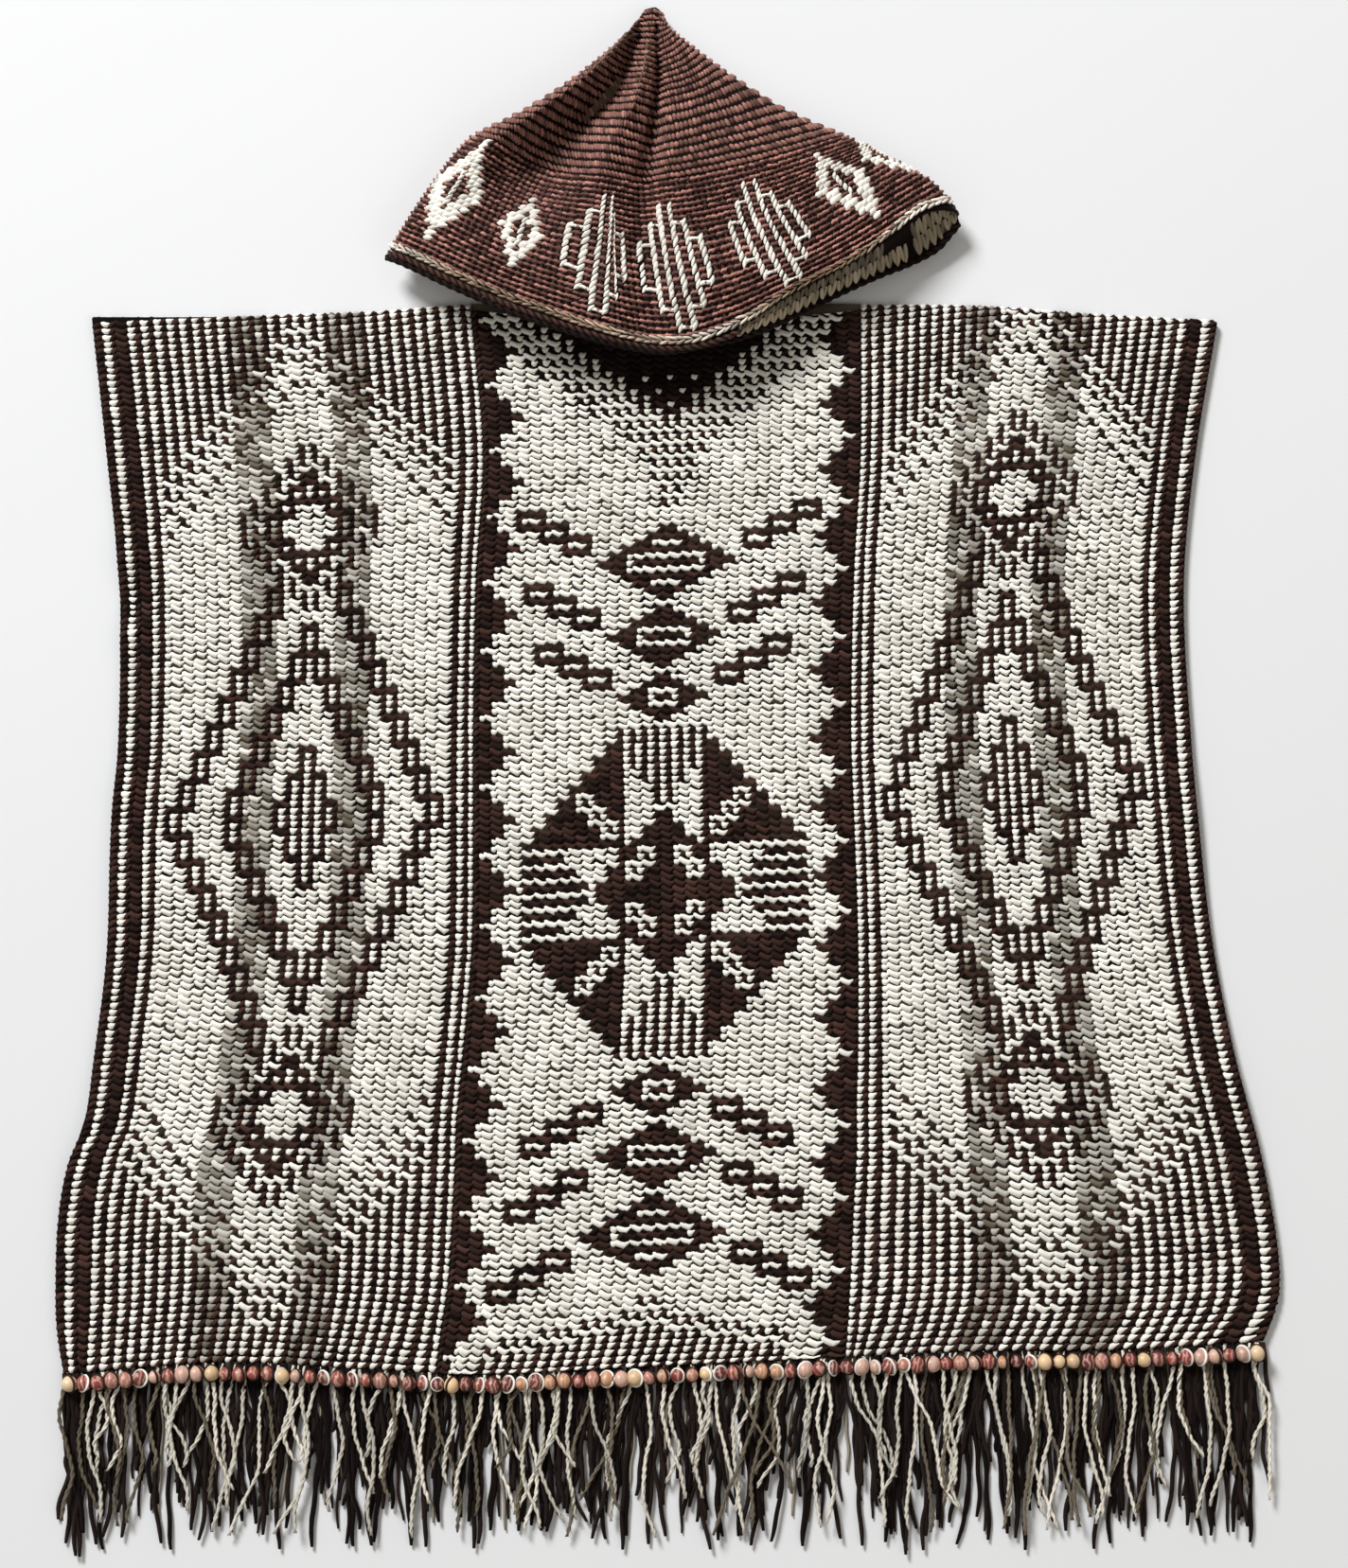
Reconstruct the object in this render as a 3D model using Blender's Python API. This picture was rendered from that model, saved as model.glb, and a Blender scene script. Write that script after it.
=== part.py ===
"""A hooded poncho of thick mosaic crochet, laid flat on its back with its hood spread above the neck.

Lengths are in metres and +Z is up. The origin is on the surface that the poncho lies on, in the middle
of its outline. +Y runs from the fringe to the hood's tip, and +X to the right of someone who looks down
on the front. Left and right in the names are as that person sees them.
"""

import math
import random
from collections import namedtuple

import bmesh
import bpy
from mathutils import Vector

# Cloth
WALL = 0.0032  # crocheted body cloth
HOOD_WALL = 0.0036  # the hood is worked a little thicker
LAYER_GAP = 0.0005  # between the front and the back where they lie on each other
SEAM = 0.0003  # between pieces that are sewn edge to edge
FOLD_RADIUS = (2 * WALL + LAYER_GAP) / 2  # outside radius of the fold along the shoulders
FRONT_TOP = 2 * FOLD_RADIUS  # height of the front's upper face
BACK_INSET = 0.002  # the back's side edges stay this far inside the front's
BACK_SHORT = 0.014  # and its hem this far above the front's hem

# Body outline
BODY_LENGTH = 0.757  # from the shoulder fold to the hem
NECK_BACK_Y = 0.3447  # the straight back edge of the neck opening
NECK_FRONT_Y = 0.3400  # the front neck edge beside the shoulders
NECK_DROP = 0.010  # and how much lower it runs in the middle

Edges = namedtuple("Edges", "down left left_seam right_seam right")
BODY_EDGES = (
    Edges(0.000, -0.414, -0.142, 0.138, 0.394),
    Edges(0.101, -0.403, -0.133, 0.138, 0.378),
    Edges(0.196, -0.394, -0.138, 0.133, 0.370),
    Edges(0.305, -0.395, -0.140, 0.131, 0.375),
    Edges(0.365, -0.400, -0.140, 0.133, 0.380),
    Edges(0.454, -0.403, -0.141, 0.136, 0.390),
    Edges(0.536, -0.413, -0.148, 0.136, 0.405),
    Edges(0.577, -0.419, -0.152, 0.135, 0.415),
    Edges(0.607, -0.431, -0.153, 0.135, 0.423),
    Edges(0.645, -0.438, -0.155, 0.133, 0.431),
    Edges(0.692, -0.440, -0.158, 0.131, 0.438),
    Edges(0.726, -0.439, -0.163, 0.129, 0.438),
    Edges(0.757, -0.434, -0.167, 0.127, 0.427),
)

Ends = namedtuple("Ends", "x shoulder hem")
BODY_ENDS = (
    Ends(-0.440, 0.3370, -0.4240),
    Ends(-0.320, 0.3370, -0.4155),
    Ends(-0.220, 0.3395, -0.4200),
    Ends(-0.140, 0.3447, -0.4236),
    Ends(0.000, 0.3450, -0.4170),
    Ends(0.135, 0.3447, -0.4110),
    Ends(0.220, 0.3440, -0.4073),
    Ends(0.330, 0.3366, -0.4060),
    Ends(0.440, 0.3315, -0.3995),
)

# Soft ridges that lift the front: middle, heading of the crest, half length, half width and height
Ridge = namedtuple("Ridge", "x y heading half_length half_width rise")
FRONT_RIDGES = (
    Ridge(-0.400, -0.075, 8, 0.100, 0.045, 0.0028),
    Ridge(-0.410, -0.265, -20, 0.130, 0.050, 0.0032),
    Ridge(-0.265, 0.180, 82, 0.150, 0.060, 0.0016),
    Ridge(-0.330, -0.330, 60, 0.120, 0.055, 0.0022),
    Ridge(0.395, -0.020, -8, 0.110, 0.045, 0.0026),
    Ridge(0.405, -0.230, 18, 0.140, 0.050, 0.0030),
    Ridge(0.270, 0.170, 96, 0.150, 0.060, 0.0016),
    Ridge(0.250, -0.320, 112, 0.130, 0.055, 0.0020),
    Ridge(-0.020, -0.390, 5, 0.120, 0.040, 0.0018),
)

# Hood: each row is one ring from the tip (share 0) by the crown's edge (0.5) to the rim (1).
# height is the top of the ring, and side the height of its two folds.
CROWN_SHARE = 0.5
Level = namedtuple("Level", "share height side")
HOOD_LEVELS = (
    Level(0.00, 0.0100, 0.0050),
    Level(0.12, 0.0190, 0.0085),
    Level(0.30, 0.0290, 0.0120),
    Level(0.50, 0.0400, 0.0170),
    Level(0.70, 0.0450, 0.0190),
    Level(0.85, 0.0470, 0.0200),
    Level(1.00, 0.0440, 0.0200),
)
# The same rings in plan, over the top from the left fold to the right fold
Over = namedtuple("Over", "share left left_top middle right_top right")
HOOD_TOP = (
    Over(0.00, (-0.0160, 0.5540), (-0.0135, 0.5515), (-0.0105, 0.5505), (-0.0070, 0.5515), (-0.0050, 0.5545)),
    Over(0.12, (-0.0350, 0.5365), (-0.0230, 0.5310), (-0.0105, 0.5285), (-0.0010, 0.5320), (0.0060, 0.5385)),
    Over(0.30, (-0.0720, 0.5040), (-0.0380, 0.4940), (-0.0095, 0.4890), (0.0200, 0.4955), (0.0440, 0.5095)),
    Over(0.40, (-0.1075, 0.4810), (-0.0600, 0.4665), (-0.0100, 0.4565), (0.0380, 0.4670), (0.0860, 0.4825)),
    Over(0.50, (-0.1400, 0.4640), (-0.0755, 0.4375), (-0.0110, 0.4290), (0.0610, 0.4425), (0.1275, 0.4640)),
    Over(0.70, (-0.1665, 0.4330), (-0.0890, 0.4000), (-0.0060, 0.3855), (0.0775, 0.4060), (0.1560, 0.4490)),
    Over(0.85, (-0.1840, 0.4080), (-0.0960, 0.3670), (0.0010, 0.3460), (0.0945, 0.3770), (0.1860, 0.4330)),
    Over(1.00, (-0.2000, 0.3825), (-0.1020, 0.3385), (0.0095, 0.3110), (0.1100, 0.3545), (0.2090, 0.4080)),
)
TOP_PLACES = (0.0, 0.25, 0.5, 0.75, 1.0)  # where those five lie across a ring
# and back underneath, between the same folds: a lip where the cloth turns under, then the flat floor
Under = namedtuple("Under", "share left_lip left_floor middle_floor right_floor right_lip")
HOOD_UNDER = (
    Under(0.00, (-0.0145, 0.5552), (-0.0135, 0.5560), (-0.0105, 0.5570), (-0.0080, 0.5565), (-0.0062, 0.5555)),
    Under(0.12, (-0.0325, 0.5352), (-0.0250, 0.5345), (-0.0110, 0.5340), (0.0000, 0.5360), (0.0047, 0.5375)),
    Under(0.30, (-0.0675, 0.5015), (-0.0500, 0.4980), (-0.0100, 0.4970), (0.0240, 0.5010), (0.0400, 0.5065)),
    Under(0.50, (-0.1310, 0.4590), (-0.0990, 0.4520), (-0.0070, 0.4515), (0.0850, 0.4560), (0.1190, 0.4605)),
    Under(0.70, (-0.1600, 0.4250), (-0.1265, 0.4110), (-0.0040, 0.4110), (0.1180, 0.4210), (0.1520, 0.4390)),
    Under(0.85, (-0.1770, 0.3975), (-0.1370, 0.3765), (-0.0020, 0.3765), (0.1290, 0.3855), (0.1800, 0.4180)),
    Under(1.00, (-0.1930, 0.3730), (-0.1400, 0.3455), (-0.0020, 0.3455), (0.1360, 0.3455), (0.2050, 0.3930)),
)
UNDER_PLACES = (0.0, 0.06, 0.18, 0.5, 0.82, 0.94, 1.0)
TOP_STEPS = (0.0, 0.02, 0.06, 0.13, 0.23, 0.33, 0.40, 0.47, 0.54, 0.62, 0.75, 0.87, 0.94, 0.98, 1.0)
UNDER_STEPS = (0.97, 0.94, 0.88, 0.82, 0.5, 0.18, 0.12, 0.06, 0.03)
DOME_POWER = 2.4  # how squarely the top is domed between its folds
UNDER_POWER = 6.0  # how soon the under layer reaches the surface from its folds

# The crease from the tip down the crown: a ridge on its left and a valley on its right
Crease = namedtuple("Crease", "share ridge valley ridge_rise valley_drop")
HOOD_CREASE = (
    Crease(0.00, 0.42, 0.60, 0.0000, 0.0000),
    Crease(0.12, 0.42, 0.58, 0.0005, 0.0030),
    Crease(0.30, 0.40, 0.53, 0.0020, 0.0080),
    Crease(0.50, 0.37, 0.49, 0.0030, 0.0100),
    Crease(0.75, 0.38, 0.47, 0.0030, 0.0050),
    Crease(1.00, 0.39, 0.46, 0.0010, 0.0010),
)
CREASE_WIDTH = 0.055  # of a ring's width

CROWN_RIBS = 24
RIB_DEPTH = 0.0012
CROWN_INNER_SHARES = (0.12, 0.20, 0.30, 0.40, 0.50)
BAND_SHARES = (0.50, 0.58, 0.67, 0.76, 0.85, 0.93, 1.00)

EDGING_RADIUS = 0.0027
EDGING_GAP = 0.0008  # from the rim, whose wall runs straight between its points
EDGING_SIDES = 6

# Bead row and fringe
BEADS = 85
BEAD_RADIUS = (0.0045, 0.0060)  # smallest and largest
BEAD_NECK = 0.62  # thickness between two beads, as a share of the smaller bead
BEAD_Z = 0.0096
BEAD_SCATTER = 0.0012  # how far a bead hangs out of the row
BEAD_SIDES = 6
STRAND_WIDTH = 0.0025
STRAND_HEIGHT = 0.0024
FRONT_FRINGE_END = -0.5300  # mean end of the front strands
FRINGE_RAGGED = 0.026  # how far their ends differ either way
FRONT_STRAND_Z = (0.0060, 0.0044, 0.0038)  # heights at the rings after the root
FRONT_STRAND_REACH = (0.20, 0.60, 1.0)  # and how far along the strand those rings lie
SWAY = 0.0055
SWAY_WAVES = (0.118, 0.061)  # wavelengths along the hem

BACK_STRANDS = 72
BACK_FRINGE_END = -0.5080
BACK_STRIP_DEPTH = 0.004
BACK_STRIP_GAP = 0.0009  # from the hem, whose wall runs straight between its columns
BACK_STRIP_Z = (0.0003, 0.0023)
BACK_STRAND_REACH = (0.5, 1.0)

# Grids
STRIP_COLUMNS = 6
CENTRE_COLUMNS = 5
FRONT_ROWS = 15
BACK_ROWS = 7
FOLD_STEPS = 4

CREAM = (0.74, 0.71, 0.63)
BROWN = (0.10, 0.055, 0.045)
CROWN_BROWN = (0.14, 0.07, 0.055)
CLAY = (0.50, 0.27, 0.21)


def clear_scene():
    for thing in list(bpy.data.objects):
        bpy.data.objects.remove(thing)


def finish(name, colour, roughness):
    """A plain yarn or clay material."""
    made = bpy.data.materials.new(name)
    made.use_nodes = True
    shader = made.node_tree.nodes["Principled BSDF"]
    shader.inputs["Base Color"].default_value = (*colour, 1)
    shader.inputs["Roughness"].default_value = roughness
    shader.inputs["Metallic"].default_value = 0
    return made


def curve_through(places, values, at):
    """The value at a place on a smooth curve through values at rising places."""
    last = len(places) - 1
    at = min(max(at, places[0]), places[-1])
    i = max(k for k in range(last) if places[k] <= at)

    def slope(k):
        low, high = max(k - 1, 0), min(k + 1, last)
        return (values[high] - values[low]) / (places[high] - places[low])

    span = places[i + 1] - places[i]
    t = (at - places[i]) / span
    start = (2 * t**3 - 3 * t**2 + 1) * values[i] + (t**3 - 2 * t**2 + t) * span * slope(i)
    end = (3 * t**2 - 2 * t**3) * values[i + 1] + (t**3 - t**2) * span * slope(i + 1)
    return start + end


def column_of(table, column, at):
    """A named column of a table, read smoothly at a value of the table's first column."""
    places = [row[0] for row in table]
    values = [getattr(row, column) for row in table]
    if isinstance(values[0], tuple):
        values = [Vector(value) for value in values]
    return curve_through(places, values, at)


def ridge_height(x, y):
    """How far the front's soft ridges lift it."""
    lift = 0.0
    for ridge in FRONT_RIDGES:
        angle = math.radians(ridge.heading)
        along = (x - ridge.x) * math.cos(angle) + (y - ridge.y) * math.sin(angle)
        beside = (y - ridge.y) * math.cos(angle) - (x - ridge.x) * math.sin(angle)
        lift += ridge.rise * math.exp(
            -((along / ridge.half_length) ** 2) - (beside / ridge.half_width) ** 2
        )
    return lift


def body_place(left, right, across, down, insets=(0.0, 0.0), short=0.0):
    """The plan place in a strip between two edge columns, across it from 0 to 1 and down its length.
    insets move its left and right edges inward, and short lifts its hem."""
    share = down * BODY_LENGTH
    low = column_of(BODY_EDGES, left, share) + insets[0]
    high = column_of(BODY_EDGES, right, share) - insets[1]
    x = low + (high - low) * across
    top = column_of(BODY_ENDS, "shoulder", x) - FOLD_RADIUS
    bottom = column_of(BODY_ENDS, "hem", x) + short
    return x, top + (bottom - top) * down


def add_grid(bm, rows, wrap=False):
    """Vertices for a grid of points, and its faces, each row joined to the next."""
    made = [[bm.verts.new(point) for point in row] for row in rows]
    count = len(made[0])
    for low, high in zip(made, made[1:]):
        for i in range(count if wrap else count - 1):
            j = (i + 1) % count
            bm.faces.new((low[i], low[j], high[j], high[i]))
    return made


def join_edges(bm, first, second, wrap=False):
    """Faces between two rows of vertices."""
    count = len(first)
    for i in range(count if wrap else count - 1):
        j = (i + 1) % count
        bm.faces.new((first[i], first[j], second[j], second[i]))


def add_cap(bm, ring, point):
    """A fan from a ring to one point."""
    tip = bm.verts.new(point)
    for i, vertex in enumerate(ring):
        bm.faces.new((vertex, ring[(i + 1) % len(ring)], tip))


def add_object(name, bm, material):
    bmesh.ops.recalc_face_normals(bm, faces=bm.faces)
    mesh = bpy.data.meshes.new(name)
    bm.to_mesh(mesh)
    bm.free()
    mesh.materials.append(material)
    mesh.shade_smooth()
    made = bpy.data.objects.new(name, mesh)
    bpy.context.scene.collection.objects.link(made)
    return made


def cloth_wall(name, outer, inner, material):
    """A closed wall between two grids of the same size."""
    bm = bmesh.new()
    out = add_grid(bm, outer)
    inside = add_grid(bm, inner)
    join_edges(bm, out[0], inside[0])
    join_edges(bm, out[-1], inside[-1])
    join_edges(bm, [row[0] for row in out], [row[0] for row in inside])
    join_edges(bm, [row[-1] for row in out], [row[-1] for row in inside])
    return add_object(name, bm, material)


def side_strip(name, left, right, seam_on_right, material):
    """One side strip, worked in one length from the back hem over the shoulder to the front hem."""
    outer, inner = [], []
    columns = [i / STRIP_COLUMNS for i in range(STRIP_COLUMNS + 1)]

    def insets(outside):
        return (outside, SEAM / 2) if seam_on_right else (SEAM / 2, outside)

    for row in range(BACK_ROWS, -1, -1):
        down = row / BACK_ROWS
        places = [body_place(left, right, u, down, insets(BACK_INSET), BACK_SHORT) for u in columns]
        outer.append([(x, y, 0.0) for x, y in places])
        inner.append([(x, y, WALL) for x, y in places])
    for step in range(1, FOLD_STEPS):
        angle = math.pi * step / FOLD_STEPS
        outside = BACK_INSET * (1 - step / FOLD_STEPS)
        for rows, radius in ((outer, FOLD_RADIUS), (inner, LAYER_GAP / 2)):
            ring = []
            for u in columns:
                x, y = body_place(left, right, u, 0.0, insets(outside))
                ring.append((x, y + radius * math.sin(angle), FOLD_RADIUS - radius * math.cos(angle)))
            rows.append(ring)
    for row in range(FRONT_ROWS + 1):
        top, under = [], []
        for u in columns:
            x, y = body_place(left, right, u, row / FRONT_ROWS, insets(0.0))
            lift = ridge_height(x, y) * min(1.0, row / 2)
            top.append((x, y, FRONT_TOP + lift))
            under.append((x, y, FRONT_TOP - WALL + lift))
        outer.append(top)
        inner.append(under)
    return cloth_wall(name, outer, inner, material)


def centre_front(material):
    """The middle strip's front half, from the neck edge to the hem."""
    outer, inner = [], []
    for row in range(FRONT_ROWS + 1):
        down = row / FRONT_ROWS
        top, under = [], []
        for i in range(CENTRE_COLUMNS + 1):
            u = i / CENTRE_COLUMNS
            x, y = body_place("left_seam", "right_seam", u, down, (SEAM / 2, SEAM / 2))
            neck = NECK_FRONT_Y - NECK_DROP * math.sin(math.pi * u)
            y = min(y, neck) if row == 0 else y
            lift = ridge_height(x, y) * min(1.0, row / 2)
            top.append((x, y, FRONT_TOP + lift))
            under.append((x, y, FRONT_TOP - WALL + lift))
        outer.append(top)
        inner.append(under)
    return cloth_wall("centre_front", outer, inner, material)


def centre_back(material):
    """The middle strip's back half, up to the straight back neck edge that carries the hood."""
    outer, inner = [], []
    for row in range(BACK_ROWS + 1):
        down = row / BACK_ROWS
        places = []
        for i in range(CENTRE_COLUMNS + 1):
            u = i / CENTRE_COLUMNS
            x, y = body_place("left_seam", "right_seam", u, down, (SEAM / 2, SEAM / 2), BACK_SHORT)
            places.append((x, NECK_BACK_Y if row == 0 else y))
        outer.append([(x, y, 0.0) for x, y in places])
        inner.append([(x, y, WALL) for x, y in places])
    return cloth_wall("centre_back", outer, inner, material)


def hood_place(share, across, under):
    """A point on the hood's outer face: on a ring's top from the left fold to the right, or under it."""
    ends = [column_of(HOOD_TOP, name, share) for name in ("left", "right")]
    side = column_of(HOOD_LEVELS, "side", share)
    edge = abs(2 * across - 1)
    if under:
        middle = [column_of(HOOD_UNDER, name, share) for name in Under._fields[1:]]
        plan = curve_through(UNDER_PLACES, [ends[0], *middle, ends[1]], across)
        turned_under = across < UNDER_PLACES[2] or across > UNDER_PLACES[4]
        return Vector((plan.x, plan.y, side * edge**UNDER_POWER if turned_under else 0.0))
    middle = [column_of(HOOD_TOP, name, share) for name in Over._fields[2:5]]
    plan = curve_through(TOP_PLACES, [ends[0], *middle, ends[1]], across)
    height = column_of(HOOD_LEVELS, "height", share)
    z = side + (height - side) * max(0.0, 1 - edge**DOME_POWER) ** (1 / DOME_POWER)
    for line, size, sign in (("ridge", "ridge_rise", 1), ("valley", "valley_drop", -1)):
        off = (across - column_of(HOOD_CREASE, line, share)) / CREASE_WIDTH
        z += sign * column_of(HOOD_CREASE, size, share) * math.exp(-off * off)
    return Vector((plan.x, plan.y, z))


def hood_ring(share):
    """One ring round the hood: over the top from left to right, and back underneath."""
    top = [hood_place(share, across, False) for across in TOP_STEPS]
    floor = [hood_place(share, across, True) for across in UNDER_STEPS]
    return top + floor


def hood_normals(share):
    """Outward directions at the points of a ring."""
    step = 0.01
    before, ring, after = (hood_ring(min(max(share + d, 0.0), 1.0)) for d in (-step, 0, step))
    normals = []
    for i in range(len(ring)):
        around = ring[(i + 1) % len(ring)] - ring[i - 1]
        along = after[i] - before[i]
        normals.append(along.cross(around).normalized())
    return normals


def hood_wall_ring(share, depth):
    """A ring moved in by a depth from the hood's outer face."""
    return [p - n * depth for p, n in zip(hood_ring(share), hood_normals(share))]


def hood_crown(material):
    """The ribbed crown: a cone worked in rounds from the tip, with a groove between each two rounds."""
    bm = bmesh.new()
    edge = CROWN_SHARE - SEAM / 2 / 0.18
    rings = 2 * CROWN_RIBS
    outer = [
        hood_wall_ring(edge * i / rings, RIB_DEPTH if i % 2 and i < rings else 0.0) for i in range(rings + 1)
    ]
    inner = [hood_wall_ring(min(share, edge), HOOD_WALL) for share in CROWN_INNER_SHARES]
    out = add_grid(bm, outer, wrap=True)
    inside = add_grid(bm, inner, wrap=True)
    middle = sum((Vector(v.co) for v in out[0]), Vector()) / len(out[0])
    add_cap(bm, out[0], middle + Vector((0, 0.0012, 0)))
    middle = sum((Vector(v.co) for v in inside[0]), Vector()) / len(inside[0])
    add_cap(bm, inside[0], middle)
    join_edges(bm, out[-1], inside[-1], wrap=True)
    return add_object("hood_crown", bm, material)


def hood_band(material):
    """The patterned band from the crown to the rim, sewn to the back neck edge along its under side."""
    bm = bmesh.new()
    shares = list(BAND_SHARES)
    shares[0] += SEAM / 2 / 0.18
    out = add_grid(bm, [hood_wall_ring(share, 0.0) for share in shares], wrap=True)
    inside = add_grid(bm, [hood_wall_ring(share, HOOD_WALL) for share in shares], wrap=True)
    join_edges(bm, out[0], inside[0], wrap=True)
    join_edges(bm, out[-1], inside[-1], wrap=True)
    return add_object("hood_band", bm, material)


def hood_edging(material):
    """The round edging of the face opening: a rope of stitches along the rim's free length."""
    step = 0.02
    right = len(TOP_STEPS)  # the first step underneath, beside the right fold
    left = right + len(UNDER_STEPS) - 1
    order = [right + 2, right + 1, right, *range(right - 1, -1, -1), left, left - 1, left - 2]
    rim = hood_wall_ring(1.0, HOOD_WALL / 2)
    inner = hood_wall_ring(1.0 - step, HOOD_WALL / 2)
    route = []
    for i in order:
        around = (rim[(i + 1) % len(rim)] - rim[i - 1]).normalized()
        away = rim[i] - inner[i]
        away = (away - away.dot(around) * around).normalized()
        place = rim[i] + away * (EDGING_GAP + EDGING_RADIUS)
        place.z = max(place.z, EDGING_RADIUS + SEAM)
        route.append((place, away))
    bm = bmesh.new()
    rows = []
    for i, (place, away) in enumerate(route):
        ahead = route[min(i + 1, len(route) - 1)][0] - route[max(i - 1, 0)][0]
        side = ahead.cross(away).normalized()
        up = side.cross(ahead).normalized()
        turns = [math.tau * (k + 0.5) / EDGING_SIDES for k in range(EDGING_SIDES)]
        rows.append([place + EDGING_RADIUS * (math.cos(a) * side + math.sin(a) * up) for a in turns])
    made = add_grid(bm, rows, wrap=True)
    bm.faces.new(made[0])
    bm.faces.new(made[-1])
    return add_object("hood_edging", bm, material)


def sway(x, share):
    """How far a strand has drifted sideways at a share of its length. Neighbours drift alike."""
    long_wave, short_wave = SWAY_WAVES
    drift = math.sin(math.tau * x / long_wave) + 0.35 * math.sin(math.tau * x / short_wave + 1.3)
    return SWAY * drift * share**1.4


def add_strand(bm, root, rings):
    """A four-sided strand that grows out of a root quad through rings of (middle, width, height)."""
    last = root
    for middle, width, height in rings:
        x, y, z = middle
        corners = ((-1, -1), (1, -1), (1, 1), (-1, 1))
        ring = [bm.verts.new((x + a * width / 2, y, z + b * height / 2)) for a, b in corners]
        for i in range(4):
            j = (i + 1) % 4
            bm.faces.new((last[i], last[j], ring[j], ring[i]))
        last = ring
    bm.faces.new(last)


def fringe_front(material):
    """The front hem's bead row, one string of round beads, with two tails of yarn out of each bead."""
    chance = random.Random(5)
    bm = bmesh.new()
    low = BODY_EDGES[-1].left
    high = BODY_EDGES[-1].right
    pitch = (high - low) / BEADS
    sizes = [chance.uniform(*BEAD_RADIUS) for _ in range(BEADS)]
    sizes[0] = sizes[-1] = BEAD_RADIUS[1]
    drops = [chance.uniform(0, BEAD_SCATTER) for _ in range(BEADS)]
    sections, roots = [], []
    for bead, (radius, drop) in enumerate(zip(sizes, drops)):
        x = low + (bead + 0.5) * pitch
        y = column_of(BODY_ENDS, "hem", x) - SEAM - BEAD_RADIUS[1] - drop
        neck = BEAD_NECK * min(radius, sizes[max(bead - 1, 0)])
        sections.append((x - 0.5 * pitch, y, neck))
        sections += [(x + a * pitch, y, radius * b) for a, b in ((-0.33, 0.88), (0.0, 1.0), (0.33, 0.88))]
        roots += [(len(sections) - 3, x - 0.17 * pitch), (len(sections) - 2, x + 0.17 * pitch)]
    sections.append((high, sections[-1][1], BEAD_NECK * sizes[-1]))
    turns = [math.tau * (k - 0.5) / BEAD_SIDES for k in range(BEAD_SIDES)]
    rows = [
        [bm.verts.new((x, y - r * math.cos(a), BEAD_Z + r * math.sin(a))) for a in turns] for x, y, r in sections
    ]
    rooted = {section for section, _ in roots}
    for i, (first, second) in enumerate(zip(rows, rows[1:])):
        for k in range(BEAD_SIDES):
            j = (k + 1) % BEAD_SIDES
            if k == 0 and i in rooted:
                continue
            bm.faces.new((first[k], first[j], second[j], second[k]))
    bm.faces.new(rows[0])
    bm.faces.new(rows[-1])
    for section, x in roots:
        first, second = rows[section], rows[section + 1]
        root = (first[0], second[0], second[1], first[1])
        start = root[0].co.y
        end = FRONT_FRINGE_END + chance.uniform(-FRINGE_RAGGED, FRINGE_RAGGED)
        rings = []
        for reach, z in zip(FRONT_STRAND_REACH, FRONT_STRAND_Z):
            place = (x + sway(x, reach), start + (end - start) * reach, z)
            rings.append((place, STRAND_WIDTH * (1.15 - 0.35 * reach), STRAND_HEIGHT))
        add_strand(bm, root, rings)
    return add_object("fringe_front", bm, material)


def fringe_back(material):
    """The back hem's fringe, under the front's: a narrow strip along the hem with its own tails."""
    chance = random.Random(11)
    bm = bmesh.new()
    low = BODY_EDGES[-1].left + 2 * BACK_INSET
    high = BODY_EDGES[-1].right - 2 * BACK_INSET
    pitch = (high - low) / BACK_STRANDS
    z0, z1 = BACK_STRIP_Z

    def section(x):
        y = column_of(BODY_ENDS, "hem", x) + BACK_SHORT - BACK_STRIP_GAP
        front, back = y - BACK_STRIP_DEPTH, y
        return [bm.verts.new(p) for p in ((x, front, z0), (x, front, z1), (x, back, z1), (x, back, z0))]

    rows, roots = [], []
    for strand in range(BACK_STRANDS):
        x = low + (strand + 0.5) * pitch
        rows += [section(x - 0.5 * STRAND_WIDTH * 1.3), section(x + 0.5 * STRAND_WIDTH * 1.3)]
        roots.append((2 * strand, x))
    for i, (first, second) in enumerate(zip(rows, rows[1:])):
        for k in range(4):
            j = (k + 1) % 4
            if k == 0 and i % 2 == 0:
                continue
            bm.faces.new((first[k], first[j], second[j], second[k]))
    bm.faces.new(rows[0])
    bm.faces.new(rows[-1])
    middle = (z0 + z1) / 2
    for section_index, x in roots:
        first, second = rows[section_index], rows[section_index + 1]
        root = (first[0], second[0], second[1], first[1])
        start = root[0].co.y
        end = BACK_FRINGE_END + chance.uniform(-FRINGE_RAGGED, FRINGE_RAGGED)
        rings = []
        for reach in BACK_STRAND_REACH:
            place = (x + 1.3 * sway(x + 0.02, reach), start + (end - start) * reach, middle)
            rings.append((place, STRAND_WIDTH, z1 - z0))
        add_strand(bm, root, rings)
    return add_object("fringe_back", bm, material)


clear_scene()
body_yarn = finish("body yarn", CREAM, 0.9)
centre_yarn = finish("centre strip yarn", CREAM, 0.9)
crown_yarn = finish("crown yarn", CROWN_BROWN, 0.85)
band_yarn = finish("band yarn", BROWN, 0.9)
edging_yarn = finish("edging yarn", BROWN, 0.9)
bead_clay = finish("beads and tails", CLAY, 0.6)
tail_yarn = finish("tails", BROWN, 0.9)

side_strip("side_strip_left", "left", "left_seam", True, body_yarn)
side_strip("side_strip_right", "right_seam", "right", False, body_yarn)
centre_front(centre_yarn)
centre_back(centre_yarn)
hood_crown(crown_yarn)
hood_band(band_yarn)
hood_edging(edging_yarn)
fringe_front(bead_clay)
fringe_back(tail_yarn)
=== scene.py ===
"""A hooded poncho of mosaic crochet, laid flat: its yarn stitches, beads and tails."""

import math
import random
from collections import namedtuple

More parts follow.
